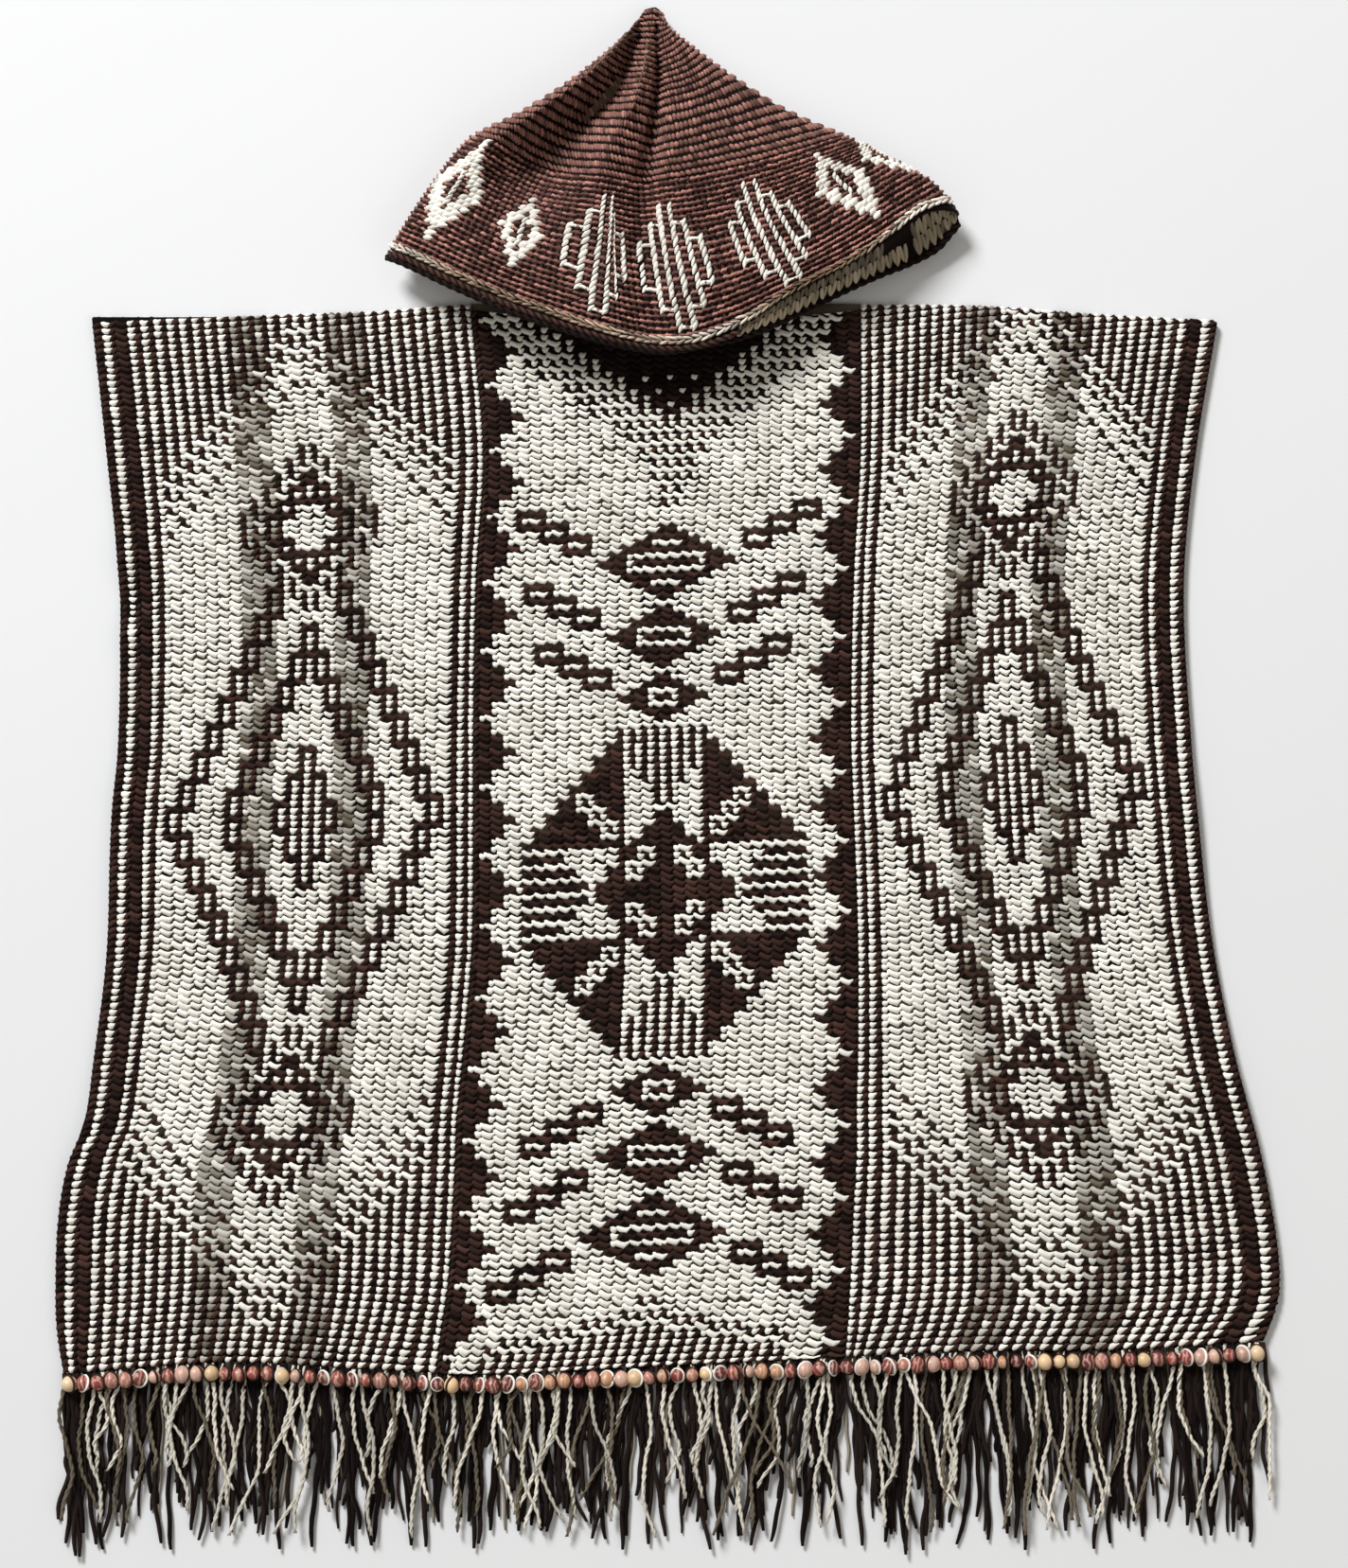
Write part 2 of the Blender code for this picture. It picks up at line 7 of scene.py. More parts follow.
import bmesh
import bpy
import numpy as np
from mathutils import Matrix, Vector


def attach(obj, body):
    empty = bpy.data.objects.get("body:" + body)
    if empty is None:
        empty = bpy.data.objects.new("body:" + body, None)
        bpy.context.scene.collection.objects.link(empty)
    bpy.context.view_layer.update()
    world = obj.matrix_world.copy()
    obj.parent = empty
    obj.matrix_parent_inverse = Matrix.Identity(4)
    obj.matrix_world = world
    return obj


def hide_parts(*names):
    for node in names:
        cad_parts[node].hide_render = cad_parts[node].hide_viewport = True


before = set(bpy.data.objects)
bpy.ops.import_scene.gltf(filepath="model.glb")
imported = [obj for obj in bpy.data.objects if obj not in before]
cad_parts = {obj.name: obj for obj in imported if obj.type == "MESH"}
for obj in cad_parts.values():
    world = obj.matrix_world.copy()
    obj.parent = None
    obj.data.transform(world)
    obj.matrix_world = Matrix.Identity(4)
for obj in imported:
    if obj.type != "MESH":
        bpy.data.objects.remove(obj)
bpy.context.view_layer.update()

# Side strips
# Two strips of overlay mosaic crochet, each worked in one length over the shoulder. Every column is one
# row of work in brown or in cream worsted yarn. A short stitch stays in its own column, and a long one
# reaches over the column before it and hides it, which draws the pattern.
WALL = 0.0032
FOLD_RADIUS = 0.00345
BACK_INSET = 0.002
BODY_LENGTH = 0.757
STITCH_HEIGHT = 0.0017  # how far the stitches stand out of the web that they are worked into
WEB_DEPTHS = (STITCH_HEIGHT, STITCH_HEIGHT + 0.0012)  # of the web's two faces

Edges = namedtuple("Edges", "down left left_seam right_seam right")
BODY_EDGES = (
    Edges(0.000, -0.414, -0.142, 0.138, 0.394),
    Edges(0.101, -0.403, -0.133, 0.138, 0.378),
    Edges(0.196, -0.394, -0.138, 0.133, 0.370),
    Edges(0.305, -0.395, -0.140, 0.131, 0.375),
    Edges(0.365, -0.400, -0.140, 0.133, 0.380),
    Edges(0.454, -0.403, -0.141, 0.136, 0.390),
    Edges(0.536, -0.413, -0.148, 0.136, 0.405),
    Edges(0.577, -0.419, -0.152, 0.135, 0.415),
    Edges(0.607, -0.431, -0.153, 0.135, 0.423),
    Edges(0.645, -0.438, -0.155, 0.133, 0.431),
    Edges(0.692, -0.440, -0.158, 0.131, 0.438),
    Edges(0.726, -0.439, -0.163, 0.129, 0.438),
    Edges(0.757, -0.434, -0.167, 0.127, 0.427),
)
Ends = namedtuple("Ends", "x shoulder hem")
BODY_ENDS = (
    Ends(-0.440, 0.3370, -0.4240),
    Ends(-0.320, 0.3370, -0.4155),
    Ends(-0.220, 0.3395, -0.4200),
    Ends(-0.140, 0.3447, -0.4236),
    Ends(0.000, 0.3450, -0.4170),
    Ends(0.135, 0.3447, -0.4110),
    Ends(0.220, 0.3440, -0.4073),
    Ends(0.330, 0.3366, -0.4060),
    Ends(0.440, 0.3315, -0.3995),
)
Ridge = namedtuple("Ridge", "x y heading half_length half_width rise")
FRONT_RIDGES = (
    Ridge(-0.400, -0.075, 8, 0.100, 0.045, 0.0028),
    Ridge(-0.410, -0.265, -20, 0.130, 0.050, 0.0032),
    Ridge(-0.265, 0.180, 82, 0.150, 0.060, 0.0016),
    Ridge(-0.330, -0.330, 60, 0.120, 0.055, 0.0022),
    Ridge(0.395, -0.020, -8, 0.110, 0.045, 0.0026),
    Ridge(0.405, -0.230, 18, 0.140, 0.050, 0.0030),
    Ridge(0.270, 0.170, 96, 0.150, 0.060, 0.0016),
    Ridge(0.250, -0.320, 112, 0.130, 0.055, 0.0020),
    Ridge(-0.020, -0.390, 5, 0.120, 0.040, 0.0018),
    Ridge(-0.398, 0.158, 24, 0.034, 0.013, 0.0040),
    Ridge(-0.394, 0.128, 24, 0.030, 0.011, -0.0026),
    Ridge(-0.392, 0.104, 18, 0.032, 0.012, 0.0034),
    Ridge(-0.405, -0.010, 16, 0.036, 0.016, 0.0030),
)

# How far down the front the middle of a row lies, from the front edge of the shoulder fold
RowPlace = namedtuple("RowPlace", "row down")
LEFT_ROWS = (
    RowPlace(0, -0.0033), RowPlace(33, 0.1523), RowPlace(76, 0.3611), RowPlace(119, 0.5766),
    RowPlace(152, 0.7538),
)
RIGHT_ROWS = (
    RowPlace(5, -0.0030), RowPlace(33, 0.1312), RowPlace(76, 0.3475), RowPlace(119, 0.5685),
    RowPlace(152, 0.7538),
)
# A strip's columns of BODY_EDGES, the side that its outer edge is on (-1 is left and 0 is for a strip that
# has none) and how its rows tilt
Strip = namedtuple("Strip", "node left right outer_side row_places tilt tilt_power")
SIDE_STRIPS = (
    Strip("side_strip_left", "left", "left_seam", -1, LEFT_ROWS, 0.06, 2.0),
    Strip("side_strip_right", "right_seam", "right", 1, RIGHT_ROWS, 0.13, 1.7),
)
SIDE_ROWS = 153
HEM_ROW_PITCH = 0.0052  # of rows past the end of the table
FOLD_ROW_PITCH = 0.0046  # and before its start
BACK_ROW_PITCH = 0.0049
BACK_END = 0.7540  # how far down the back its rows go
STRIP_WIDTH = 0.262
EDGE = 0.0005  # stitches stay this far inside a strip, in shares of its width and in metres at the hem
HEM_LEAN = 0.008  # the columns lean to the left near the hem
LEAN_REACH = 0.060
LEAN_MARGIN = 0.08  # share of the width over which the lean fades at both edges
RIDGE_FADE = 0.1  # the ridges fade out this far from the shoulder fold
ColumnPlace = namedtuple("ColumnPlace", "column across")
SIDE_COLUMN_PLACES = (
    ColumnPlace(-0.5, 0.0), ColumnPlace(1, 0.037), ColumnPlace(5, 0.100), ColumnPlace(7, 0.136),
    ColumnPlace(9, 0.172), ColumnPlace(31, 0.536), ColumnPlace(53, 0.890), ColumnPlace(57, 0.963),
    ColumnPlace(59, 0.993), ColumnPlace(59.5, 1.0),
)
SIDE_COLUMNS = 60
SIDE_CENTRE = 31  # the cream column that the left strip's pattern is even about
EYE_ROW = 43  # rows from the middle of the strip to the middle of an eye

CREAM = (0.81, 0.785, 0.72)
BROWN = (0.034, 0.016, 0.012)
MARL = (0.13, 0.108, 0.078)
MARL_SHARE = 0.62  # of marl in a marl stitch, on average
MARL_SPREAD = 0.25
# The webs' colours are painted shade: the yarn behind the stitches is darkened to near black, as the gaps
# between stitches lie in shade
SHADED_WEB_BROWN = (0.003, 0.0015, 0.001)
SHADED_WEB_CREAM = (0.036, 0.028, 0.020)
JITTER = 0.075  # how much stitches differ in size, slant and place
TONE_LIMITS = (-0.6, 0.9)  # how much darker or lighter a stitch may be, as a share of its colour
chance = np.random.default_rng(3)


def weights_between(places, at):
    """How much each of some rising places counts at other places, on a smooth curve through them."""
    places = np.asarray(places, float)
    last = len(places) - 1
    at = np.clip(np.asarray(at, float), places[0], places[-1])
    i = np.clip(np.searchsorted(places, at, side="right") - 1, 0, last - 1)
    span = places[i + 1] - places[i]
    t = (at - places[i]) / span
    weights = np.zeros((len(at), len(places)))
    rows = np.arange(len(at))
    np.add.at(weights, (rows, i), 2 * t**3 - 3 * t**2 + 1)
    np.add.at(weights, (rows, i + 1), 3 * t**2 - 2 * t**3)
    for k, pull in ((i, (t**3 - 2 * t**2 + t) * span), (i + 1, (t**3 - t**2) * span)):
        low, high = np.maximum(k - 1, 0), np.minimum(k + 1, last)
        slope = pull / (places[high] - places[low])
        np.add.at(weights, (rows, high), slope)
        np.add.at(weights, (rows, low), -slope)
    return weights


def column_of(table, column, at):
    """A named column of a table, read smoothly at values of the table's first column."""
    return weights_between([row[0] for row in table], at) @ np.array([getattr(row, column) for row in table])


def ridge_height(x, y):
    """How far the front's soft ridges lift it."""
    lift = np.zeros_like(x)
    for ridge in FRONT_RIDGES:
        angle = math.radians(ridge.heading)
        along = (x - ridge.x) * math.cos(angle) + (y - ridge.y) * math.sin(angle)
        beside = (y - ridge.y) * math.cos(angle) - (x - ridge.x) * math.sin(angle)
        lift += ridge.rise * np.exp(-((along / ridge.half_length) ** 2) - (beside / ridge.half_width) ** 2)
    return lift


def body_point(strip, across, down, height):
    """Points of the body cloth, across a strip from 0 to 1 and down the front from its shoulder fold in
    metres. Less than 0 is over the fold and then down the back. height is out of the cloth's face."""
    turn = np.clip(-down / FOLD_RADIUS, 0, math.pi)
    back = np.maximum(-down - math.pi * FOLD_RADIUS, 0)
    share = np.clip(down, 0, None) + back
    inset = BACK_INSET * turn / math.pi
    low = column_of(BODY_EDGES, strip.left, share) + inset * (strip.outer_side < 0)
    high = column_of(BODY_EDGES, strip.right, share) - inset * (strip.outer_side > 0)
    x = low + (high - low) * across
    top = column_of(BODY_ENDS, "shoulder", x) - FOLD_RADIUS
    length = top - column_of(BODY_ENDS, "hem", x)
    y = top - share * length / BODY_LENGTH
    lift = ridge_height(x, y) * np.clip(down / RIDGE_FADE, 0, 1)
    reach = FOLD_RADIUS + height
    return np.stack([x, y + reach * np.sin(turn), FOLD_RADIUS + reach * np.cos(turn) + lift], axis=1)


def mesh_piece(name, points, quads, colour, material, triangles=()):
    """One smooth mesh object from arrays of points and faces, with a colour for each point or for all."""
    mesh = bpy.data.meshes.new(name)
    triangles = np.asarray(triangles, np.int32).reshape(-1, 3)
    quads = np.asarray(quads, np.int32).reshape(-1, 4)
    mesh.vertices.add(len(points))
    mesh.vertices.foreach_set("co", np.asarray(points, np.float32).ravel())
    mesh.loops.add(triangles.size + quads.size)
    mesh.loops.foreach_set("vertex_index", np.concatenate([triangles.ravel(), quads.ravel()]))
    mesh.polygons.add(len(triangles) + len(quads))
    starts = np.concatenate([np.arange(len(triangles)) * 3, triangles.size + np.arange(len(quads)) * 4])
    mesh.polygons.foreach_set("loop_start", starts.astype(np.int32))
    mesh.update(calc_edges=True)
    mesh.shade_smooth()
    layer = mesh.color_attributes.new("yarn", "FLOAT_COLOR", "POINT")
    rgba = np.ones((len(points), 4), np.float32)
    rgba[:, :3] = colour
    layer.data.foreach_set("color", rgba.ravel())
    mesh.materials.append(material)
    made = bpy.data.objects.new(name, mesh)
    bpy.context.scene.collection.objects.link(made)
    return made


def grid_quads(rows, columns, wrap=False):
    """The quads of a grid of points that is stored row by row."""
    across = np.arange(columns if wrap else columns - 1)
    after = (across + 1) % columns
    first = np.arange(rows - 1)[:, None] * columns
    corners = (first + across, first + after, first + columns + after, first + columns + across)
    return np.stack(corners, axis=-1).reshape(-1, 4)


def grid_points(across, down):
    """Each pair of places across and down, row by row, as two flat arrays."""
    return (grid.ravel() for grid in np.meshgrid(across, down))


# One stitch: rings across its length, each with a place along it, a bend down the cloth, a half width
# and a height. Lengths are in columns and rows of the work, and heights in shares of STITCH_HEIGHT.
Ring = namedtuple("Ring", "along bend half_width height")
SHORT_CREAM = (
    Ring(-0.48, -0.10, 0.22, 0.15), Ring(-0.18, 0.02, 0.44, 0.95), Ring(0.22, 0.08, 0.40, 0.95),
    Ring(0.72, -0.22, 0.10, 0.15),
)
SHORT_BROWN = (
    Ring(-0.60, 0.26, 0.18, 0.05), Ring(-0.04, 0.02, 0.46, 1.00), Ring(0.60, -0.28, 0.14, 0.05),
)
LONG = (
    Ring(-1.62, -0.36, 0.16, 0.12), Ring(-1.26, -0.24, 0.42, 0.98), Ring(-0.70, 0.04, 0.39, 0.82),
    Ring(-0.14, 0.28, 0.43, 1.00), Ring(0.60, -0.12, 0.12, 0.12),
)
PLAIN_SHORT = (Ring(-0.52, 0.0, 0.25, 0.1), Ring(0.0, 0.0, 0.48, 1.0), Ring(0.52, 0.0, 0.25, 0.1))
PLAIN_LONG = (Ring(-1.6, -0.1, 0.25, 0.1), Ring(-0.5, 0.0, 0.48, 1.0), Ring(0.55, 0.0, 0.25, 0.1))
Over = namedtuple("Over", "side height")
ROUNDED = (Over(-1.0, 0.0), Over(-0.5, 0.88), Over(0.42, 0.92), Over(1.0, 0.0))  # points over each ring
PEAKED = (Over(-1.0, 0.0), Over(0.0, 1.0), Over(1.0, 0.0))


def stitch_shape(rings, over=ROUNDED):
    """A stitch as points (along, down, height) and the quads between its rings."""
    points = [
        (ring.along, ring.bend + place.side * ring.half_width, ring.height * place.height)
        for ring in rings
        for place in over
    ]
    return np.array(points), grid_quads(len(rings), len(over))


Shapes = namedtuple("Shapes", "cream brown long")
WORKED = Shapes(stitch_shape(SHORT_CREAM), stitch_shape(SHORT_BROWN), stitch_shape(LONG))
PLAIN = Shapes(*(stitch_shape(rings, PEAKED) for rings in (PLAIN_SHORT, PLAIN_SHORT, PLAIN_LONG)))


def work_stitches(place, columns, rows, shape, jitter=JITTER):
    """Copies of one stitch at columns and rows of the work, which place(column, row, height) lays."""
    points, quads = shape
    columns, rows = np.asarray(columns, float), np.asarray(rows, float)
    count = len(columns)
    turn = chance.normal(0, jitter, (count, 1))
    size = 1 + chance.normal(0, jitter, (count, 1))
    shift = chance.normal(0, 0.6 * jitter, (2, count, 1))
    along = points[:, 0] * size
    bend = points[:, 1] * size + turn * points[:, 0]
    column = (columns[:, None] + along + shift[0]).ravel()
    row = (rows[:, None] + bend + shift[1]).ravel()
    height = (points[:, 2] * (1 + chance.normal(0, jitter, (count, 1)))).ravel() * STITCH_HEIGHT
    faces = (quads[None] + len(points) * np.arange(count)[:, None, None]).reshape(-1, 4)
    return place(column, row, height), faces


def toned(colour, count, spread):
    """A slightly lighter or darker colour for each stitch."""
    tone = np.clip(chance.normal(0, spread, (count, 1)), *TONE_LIMITS)
    return np.array(colour) * (1 + tone)


def toned_stitches(place, columns, rows, shape, colour, spread, jitter=JITTER, inward=False):
    """Stitches with a tone of a colour for each of them. inward turns their faces over."""
    points, quads = work_stitches(place, columns, rows, shape, jitter)
    tones = toned(colour, len(columns), spread)
    return points, quads[:, ::-1] if inward else quads, np.repeat(tones, len(shape[0]), axis=0)


def joined(parts):
    """Several (points, quads, colour) sets as one."""
    points, quads, colours, start = [], [], [], 0
    for part_points, part_quads, part_colour in parts:
        points.append(part_points)
        quads.append(part_quads + start)
        colours.append(part_colour)
        start += len(part_points)
    return np.concatenate(points), np.concatenate(quads), np.concatenate(colours)


def crochet(place, dark, base_dark, yarn_of, shapes=WORKED):
    """The stitches of a whole chart. dark says which colour shows in each row and column, and base_dark
    which columns are worked in brown. yarn_of(columns, rows, is_dark) gives each stitch's colour."""
    covered = dark != base_dark[None, :]
    reaches = np.zeros_like(covered)
    reaches[:, 1:] = covered[:, :-1]
    parts = []
    for is_dark in (False, True):
        for is_long in (False, True):
            rows, columns = np.nonzero(~covered & (base_dark[None, :] == is_dark) & (reaches == is_long))
            if not len(rows):
                continue
            shape = shapes.long if is_long else shapes.brown if is_dark else shapes.cream
            points, quads = work_stitches(place, columns, rows, shape)
            colour = yarn_of(columns, rows, is_dark)
            parts.append((points, quads, np.repeat(colour, len(shape[0]), axis=0)))
    return joined(parts)


def box_ring(dark, q, v, boxes, first, offset_of):
    """A ring of stepped boxes: each has a cream slit between two brown columns, and brown bars join them."""
    for box in range(boxes + 1):
        start = first + 4 * box
        offsets = [offset_of(b) for b in (box - 1, box) if 0 <= b < boxes]
        low, high = 2 * min(offsets) - 1, 2 * max(offsets) + 1
        dark |= (v == start) & (np.abs(q) >= low) & (np.abs(q) <= high)
        if box < boxes:
            slit = 2 * offset_of(box)
            rows = (v > start) & (v < start + 4)
            dark |= rows & ((np.abs(q) == abs(slit - 1)) | (np.abs(q) == slit + 1))


def eye(dark, q, u):
    """An eye: a cream lozenge with short bars in a brown block, and a ring of brown bars around it."""
    a, b = np.abs(q), np.abs(u)
    odd = a % 2 == 1
    block = odd & (b <= 9 - a)
    halo = odd & (a <= 11) & (b >= 11 - a) & (b <= 13 - a)
    bars = ((a == 0) & ((b == 4) | (b == 7) | (b == 8))) | ((a == 2) & ((b == 4) | (b == 6)))
    bars |= ((a == 4) & ((b == 2) | (b == 4))) | ((a == 6) & (b == 2))
    lozenge = ((a <= 2) & (b <= 3)) | ((a <= 4) & (b <= 1))
    dark |= (block | halo | bars) & ~lozenge


def side_chart(outer_side):
    """Which stitches of a side strip show brown. outer_side is -1 where its outer edge is on the left."""
    centre = SIDE_CENTRE if outer_side < 0 else SIDE_COLUMNS - 1 - SIDE_CENTRE
    q = (np.arange(SIDE_COLUMNS) - centre)[None, :]
    v = (np.arange(SIDE_ROWS) - SIDE_ROWS // 2)[:, None]
    base = np.abs(q) % 2 == 1
    field = np.abs(q) <= 24
    dark = np.tile(base & ~field, (SIDE_ROWS, 1))
    dark |= q * outer_side == 28
    # Corner stripes that step down to dots
    pair = (np.abs(q) + 1) // 2
    for from_edge, start in ((v + 76, 1), (76 - v, 3)):
        after = from_edge - (start + 2 * pair)
        shown = (after < 0) | (after == 1) | (after == 2) | (after == 4) | (after == 8)
        dark |= field & base & shown
    box_ring(dark, q, v, 17, -34, lambda box: 3 + min(box, 16 - box))
    box_ring(dark, q, v, 14, -28, lambda box: min(box, 13 - box))
    eye(dark, q, v - EYE_ROW)
    eye(dark, q, v + EYE_ROW)
    # Inner cross
    for column, reach in ((1, 10), (3, 6), (5, 2)):
        dark |= (np.abs(q) == column) & (np.abs(v) <= reach)
        dark |= (np.abs(q) == column - 1) & (np.abs(v) == reach)
    return dark, base[0]


def hem_lean(share, down):
    """How far the columns lean to the left near the hem, in shares of a strip's width."""
    near = np.clip((down - (BODY_LENGTH - LEAN_REACH)) / LEAN_REACH, 0, 1)
    window = np.clip(np.minimum(share, 1 - share) / LEAN_MARGIN, 0, 1)
    return HEM_LEAN / STRIP_WIDTH * near**2 * window


def side_place(strip, on_back=False):
    """Where a column and row of a side strip's work lie on the cloth."""
    columns = [place.column for place in SIDE_COLUMN_PLACES]
    across = [place.across for place in SIDE_COLUMN_PLACES]
    if strip.outer_side > 0:
        columns = [SIDE_COLUMNS - 1 - column for column in reversed(columns)]
        across = [1 - share for share in reversed(across)]
    first, last = strip.row_places[0], strip.row_places[-1]

    def place(column, row, height):
        share = np.interp(column, columns, across)
        if on_back:
            down = np.maximum(first.down - (row + 1) * BACK_ROW_PITCH, -BACK_END)
        else:
            down = column_of(strip.row_places, "down", row)
            down += np.clip(row - last.row, 0, None) * HEM_ROW_PITCH
            down -= np.clip(first.row - row, 0, None) * FOLD_ROW_PITCH
            fade = 1 - np.clip(row / (SIDE_ROWS - 1), 0, 1) ** strip.tilt_power
            down -= (share - 0.5) * STRIP_WIDTH * strip.tilt * fade
            down = np.minimum(down, BODY_LENGTH - EDGE)
            share = share - hem_lean(share, down)
        share = np.clip(share, EDGE, 1 - EDGE)
        depth = np.minimum(height, STITCH_HEIGHT) - STITCH_HEIGHT
        return body_point(strip, share, down, depth)

    return place


def body_yarn(marl_columns=()):
    """A function that gives the body's stitches their colours, with marl for cream in some columns."""

    def yarn_of(columns, rows, is_dark):
        if is_dark:
            return toned(BROWN, len(columns), 0.40)
        marl = np.isin(columns, marl_columns)
        mix = np.clip(chance.normal(MARL_SHARE, MARL_SPREAD, (len(columns), 1)), 0.1, 1.0) * marl[:, None]
        colour = np.array(CREAM) * (1 - mix) + np.array(MARL) * mix
        return colour * (1 + chance.normal(0, 0.05, (len(columns), 1)))

    return yarn_of


def node_with(nodes, kind, **values):
    """A new shader node with some of its inputs set, where _ stands for a space in an input's name."""
    made = nodes.new(kind)
    for name, value in values.items():
        made.inputs[name.replace("_", " ")].default_value = value
    return made


def fibre_group():
    """Fibres and small changes of tone, shared by every yarn: gives a colour and a height for the bump."""
    group = bpy.data.node_groups.new("yarn fibres", "ShaderNodeTree")
    for name, kind, direction in (
        ("Colour", "NodeSocketColor", "INPUT"),
        ("Fineness", "NodeSocketFloat", "INPUT"),
        ("Fading", "NodeSocketFloat", "INPUT"),
        ("Colour", "NodeSocketColor", "OUTPUT"),
        ("Height", "NodeSocketFloat", "OUTPUT"),
    ):
        group.interface.new_socket(name, in_out=direction, socket_type=kind)
    nodes, links = group.nodes, group.links
    given = nodes.new("NodeGroupInput")
    result = nodes.new("NodeGroupOutput")
    coords = nodes.new("ShaderNodeTexCoord")
    fibre = node_with(nodes, "ShaderNodeTexNoise", Detail=4, Roughness=0.65)
    patch = node_with(nodes, "ShaderNodeTexNoise", Scale=24, Detail=2)
    spread = node_with(nodes, "ShaderNodeMapRange", From_Min=0.25, From_Max=0.75, To_Min=-1.0)
    wide = node_with(nodes, "ShaderNodeMapRange", From_Min=0.3, From_Max=0.7, To_Min=-0.6, To_Max=0.6)
    both = nodes.new("ShaderNodeMath")
    both.operation = "ADD"
    tone = nodes.new("ShaderNodeMath")
    tone.operation = "MULTIPLY_ADD"
    tone.inputs[2].default_value = 1.0
    scaled = nodes.new("ShaderNodeVectorMath")
    scaled.operation = "SCALE"
    for source, target in (
        (coords.outputs["Object"], fibre.inputs["Vector"]),
        (coords.outputs["Object"], patch.inputs["Vector"]),
        (given.outputs["Fineness"], fibre.inputs["Scale"]),
        (fibre.outputs["Fac"], spread.inputs["Value"]),
        (patch.outputs["Fac"], wide.inputs["Value"]),
        (spread.outputs["Result"], both.inputs[0]),
        (wide.outputs["Result"], both.inputs[1]),
        (both.outputs["Value"], tone.inputs[0]),
        (given.outputs["Fading"], tone.inputs[1]),
        (given.outputs["Colour"], scaled.inputs[0]),
        (tone.outputs["Value"], scaled.inputs["Scale"]),
        (scaled.outputs["Vector"], result.inputs["Colour"]),
        (fibre.outputs["Fac"], result.inputs["Height"]),
    ):
        links.new(source, target)
    return group


yarn_fibres = fibre_group()
FIBRE_FINENESS = 900


def yarn_material(name, roughness=0.9, bump=0.5, fading=0.18, sheen=0.02):
    """Matt yarn: the stitches' own colours, with fibres."""
    made = bpy.data.materials.new(name)
    made.use_nodes = True
    nodes, links = made.node_tree.nodes, made.node_tree.links
    shader = nodes["Principled BSDF"]
    shader.inputs["Roughness"].default_value = roughness
    shader.inputs["Specular IOR Level"].default_value = 0.10
    shader.inputs["Sheen Weight"].default_value = sheen
    shader.inputs["Sheen Roughness"].default_value = 0.5
    colour = nodes.new("ShaderNodeVertexColor")
    colour.layer_name = "yarn"
    fibres = nodes.new("ShaderNodeGroup")
    fibres.node_tree = yarn_fibres
    fibres.inputs["Fineness"].default_value = FIBRE_FINENESS
    fibres.inputs["Fading"].default_value = fading
    relief = node_with(nodes, "ShaderNodeBump", Strength=bump, Distance=0.0004)
    links.new(colour.outputs["Color"], fibres.inputs["Colour"])
    links.new(fibres.outputs["Colour"], shader.inputs["Base Color"])
    links.new(fibres.outputs["Height"], relief.inputs["Height"])
    links.new(relief.outputs["Normal"], shader.inputs["Normal"])
    return made


yarn = yarn_material("worsted yarn")


def cloth_quads(rows, columns, wrap=False, capped=False):
    """Outward quads of a closed cloth: a grid of outer points and then one of inner points, with the walls
    between them. A capped grid's first row is left open for a cap."""
    count = rows * columns
    face = grid_quads(rows, columns, wrap)
    if wrap:
        rims = [(rows - 1) * columns + np.arange(columns)[::-1]]
        if not capped:
            rims.append(np.arange(columns))
    else:
        rims = [np.concatenate([
            np.arange(columns),
            np.arange(1, rows) * columns + columns - 1,
            np.arange(count - 2, count - columns - 1, -1),
            np.arange(rows - 2, 0, -1) * columns,
        ])]
    walls = [np.stack([rim, rim + count, np.roll(rim, -1) + count, np.roll(rim, -1)], axis=1) for rim in rims]
    return np.concatenate([face, face[:, ::-1] + count, *walls])[:, ::-1]


def web_piece(name, outer, inner, grid, colour, material, turned=False):
    """The web behind the stitches: a thin closed cloth between a grid of outer points and one of inner
    points. turned is for a grid that runs the other way round."""
    quads = cloth_quads(*grid)[:, ::-1] if turned else cloth_quads(*grid)
    return mesh_piece(name, np.concatenate([outer, inner]), quads, colour, material)


def shaded_web_tone(dark, column, row):
    """The web's colour behind some columns and rows: brown where brown stitches show over it, or cream. Both
    are darkened far below the yarn's own colours as painted shade in the gaps between the stitches.
    """
    rows, columns = dark.shape
    near = np.zeros(len(column))
    for down in (-1, 0, 1):
        for aside in (-1, 0, 1):
            at_row = np.clip(np.round(row).astype(int) + down, 0, rows - 1)
            at_column = np.clip(np.round(column).astype(int) + aside, 0, columns - 1)
            near += dark[at_row, at_column] / 9
    brown = np.clip(3 * near, 0, 1)[:, None]
    return brown * np.array(SHADED_WEB_BROWN) + (1 - brown) * np.array(SHADED_WEB_CREAM)


def side_web(strip, dark):
    """The web of a side strip, from hem to hem over the fold."""
    share, down = grid_points(np.linspace(0.002, 0.998, SIDE_WEB_COLUMNS), SIDE_WEB_DOWNS)
    row = np.where(down > 0, down / BODY_LENGTH, np.clip(-down / BODY_LENGTH, 0, 1)) * (SIDE_ROWS - 1)
    tone = shaded_web_tone(dark, share * SIDE_COLUMNS - 0.5, row)
    faces = [body_point(strip, share, down, np.full(share.size, -depth)) for depth in WEB_DEPTHS]
    grid = (len(SIDE_WEB_DOWNS), SIDE_WEB_COLUMNS)
    return web_piece(strip.node + "_web", *faces, grid, np.tile(tone, (2, 1)), yarn)


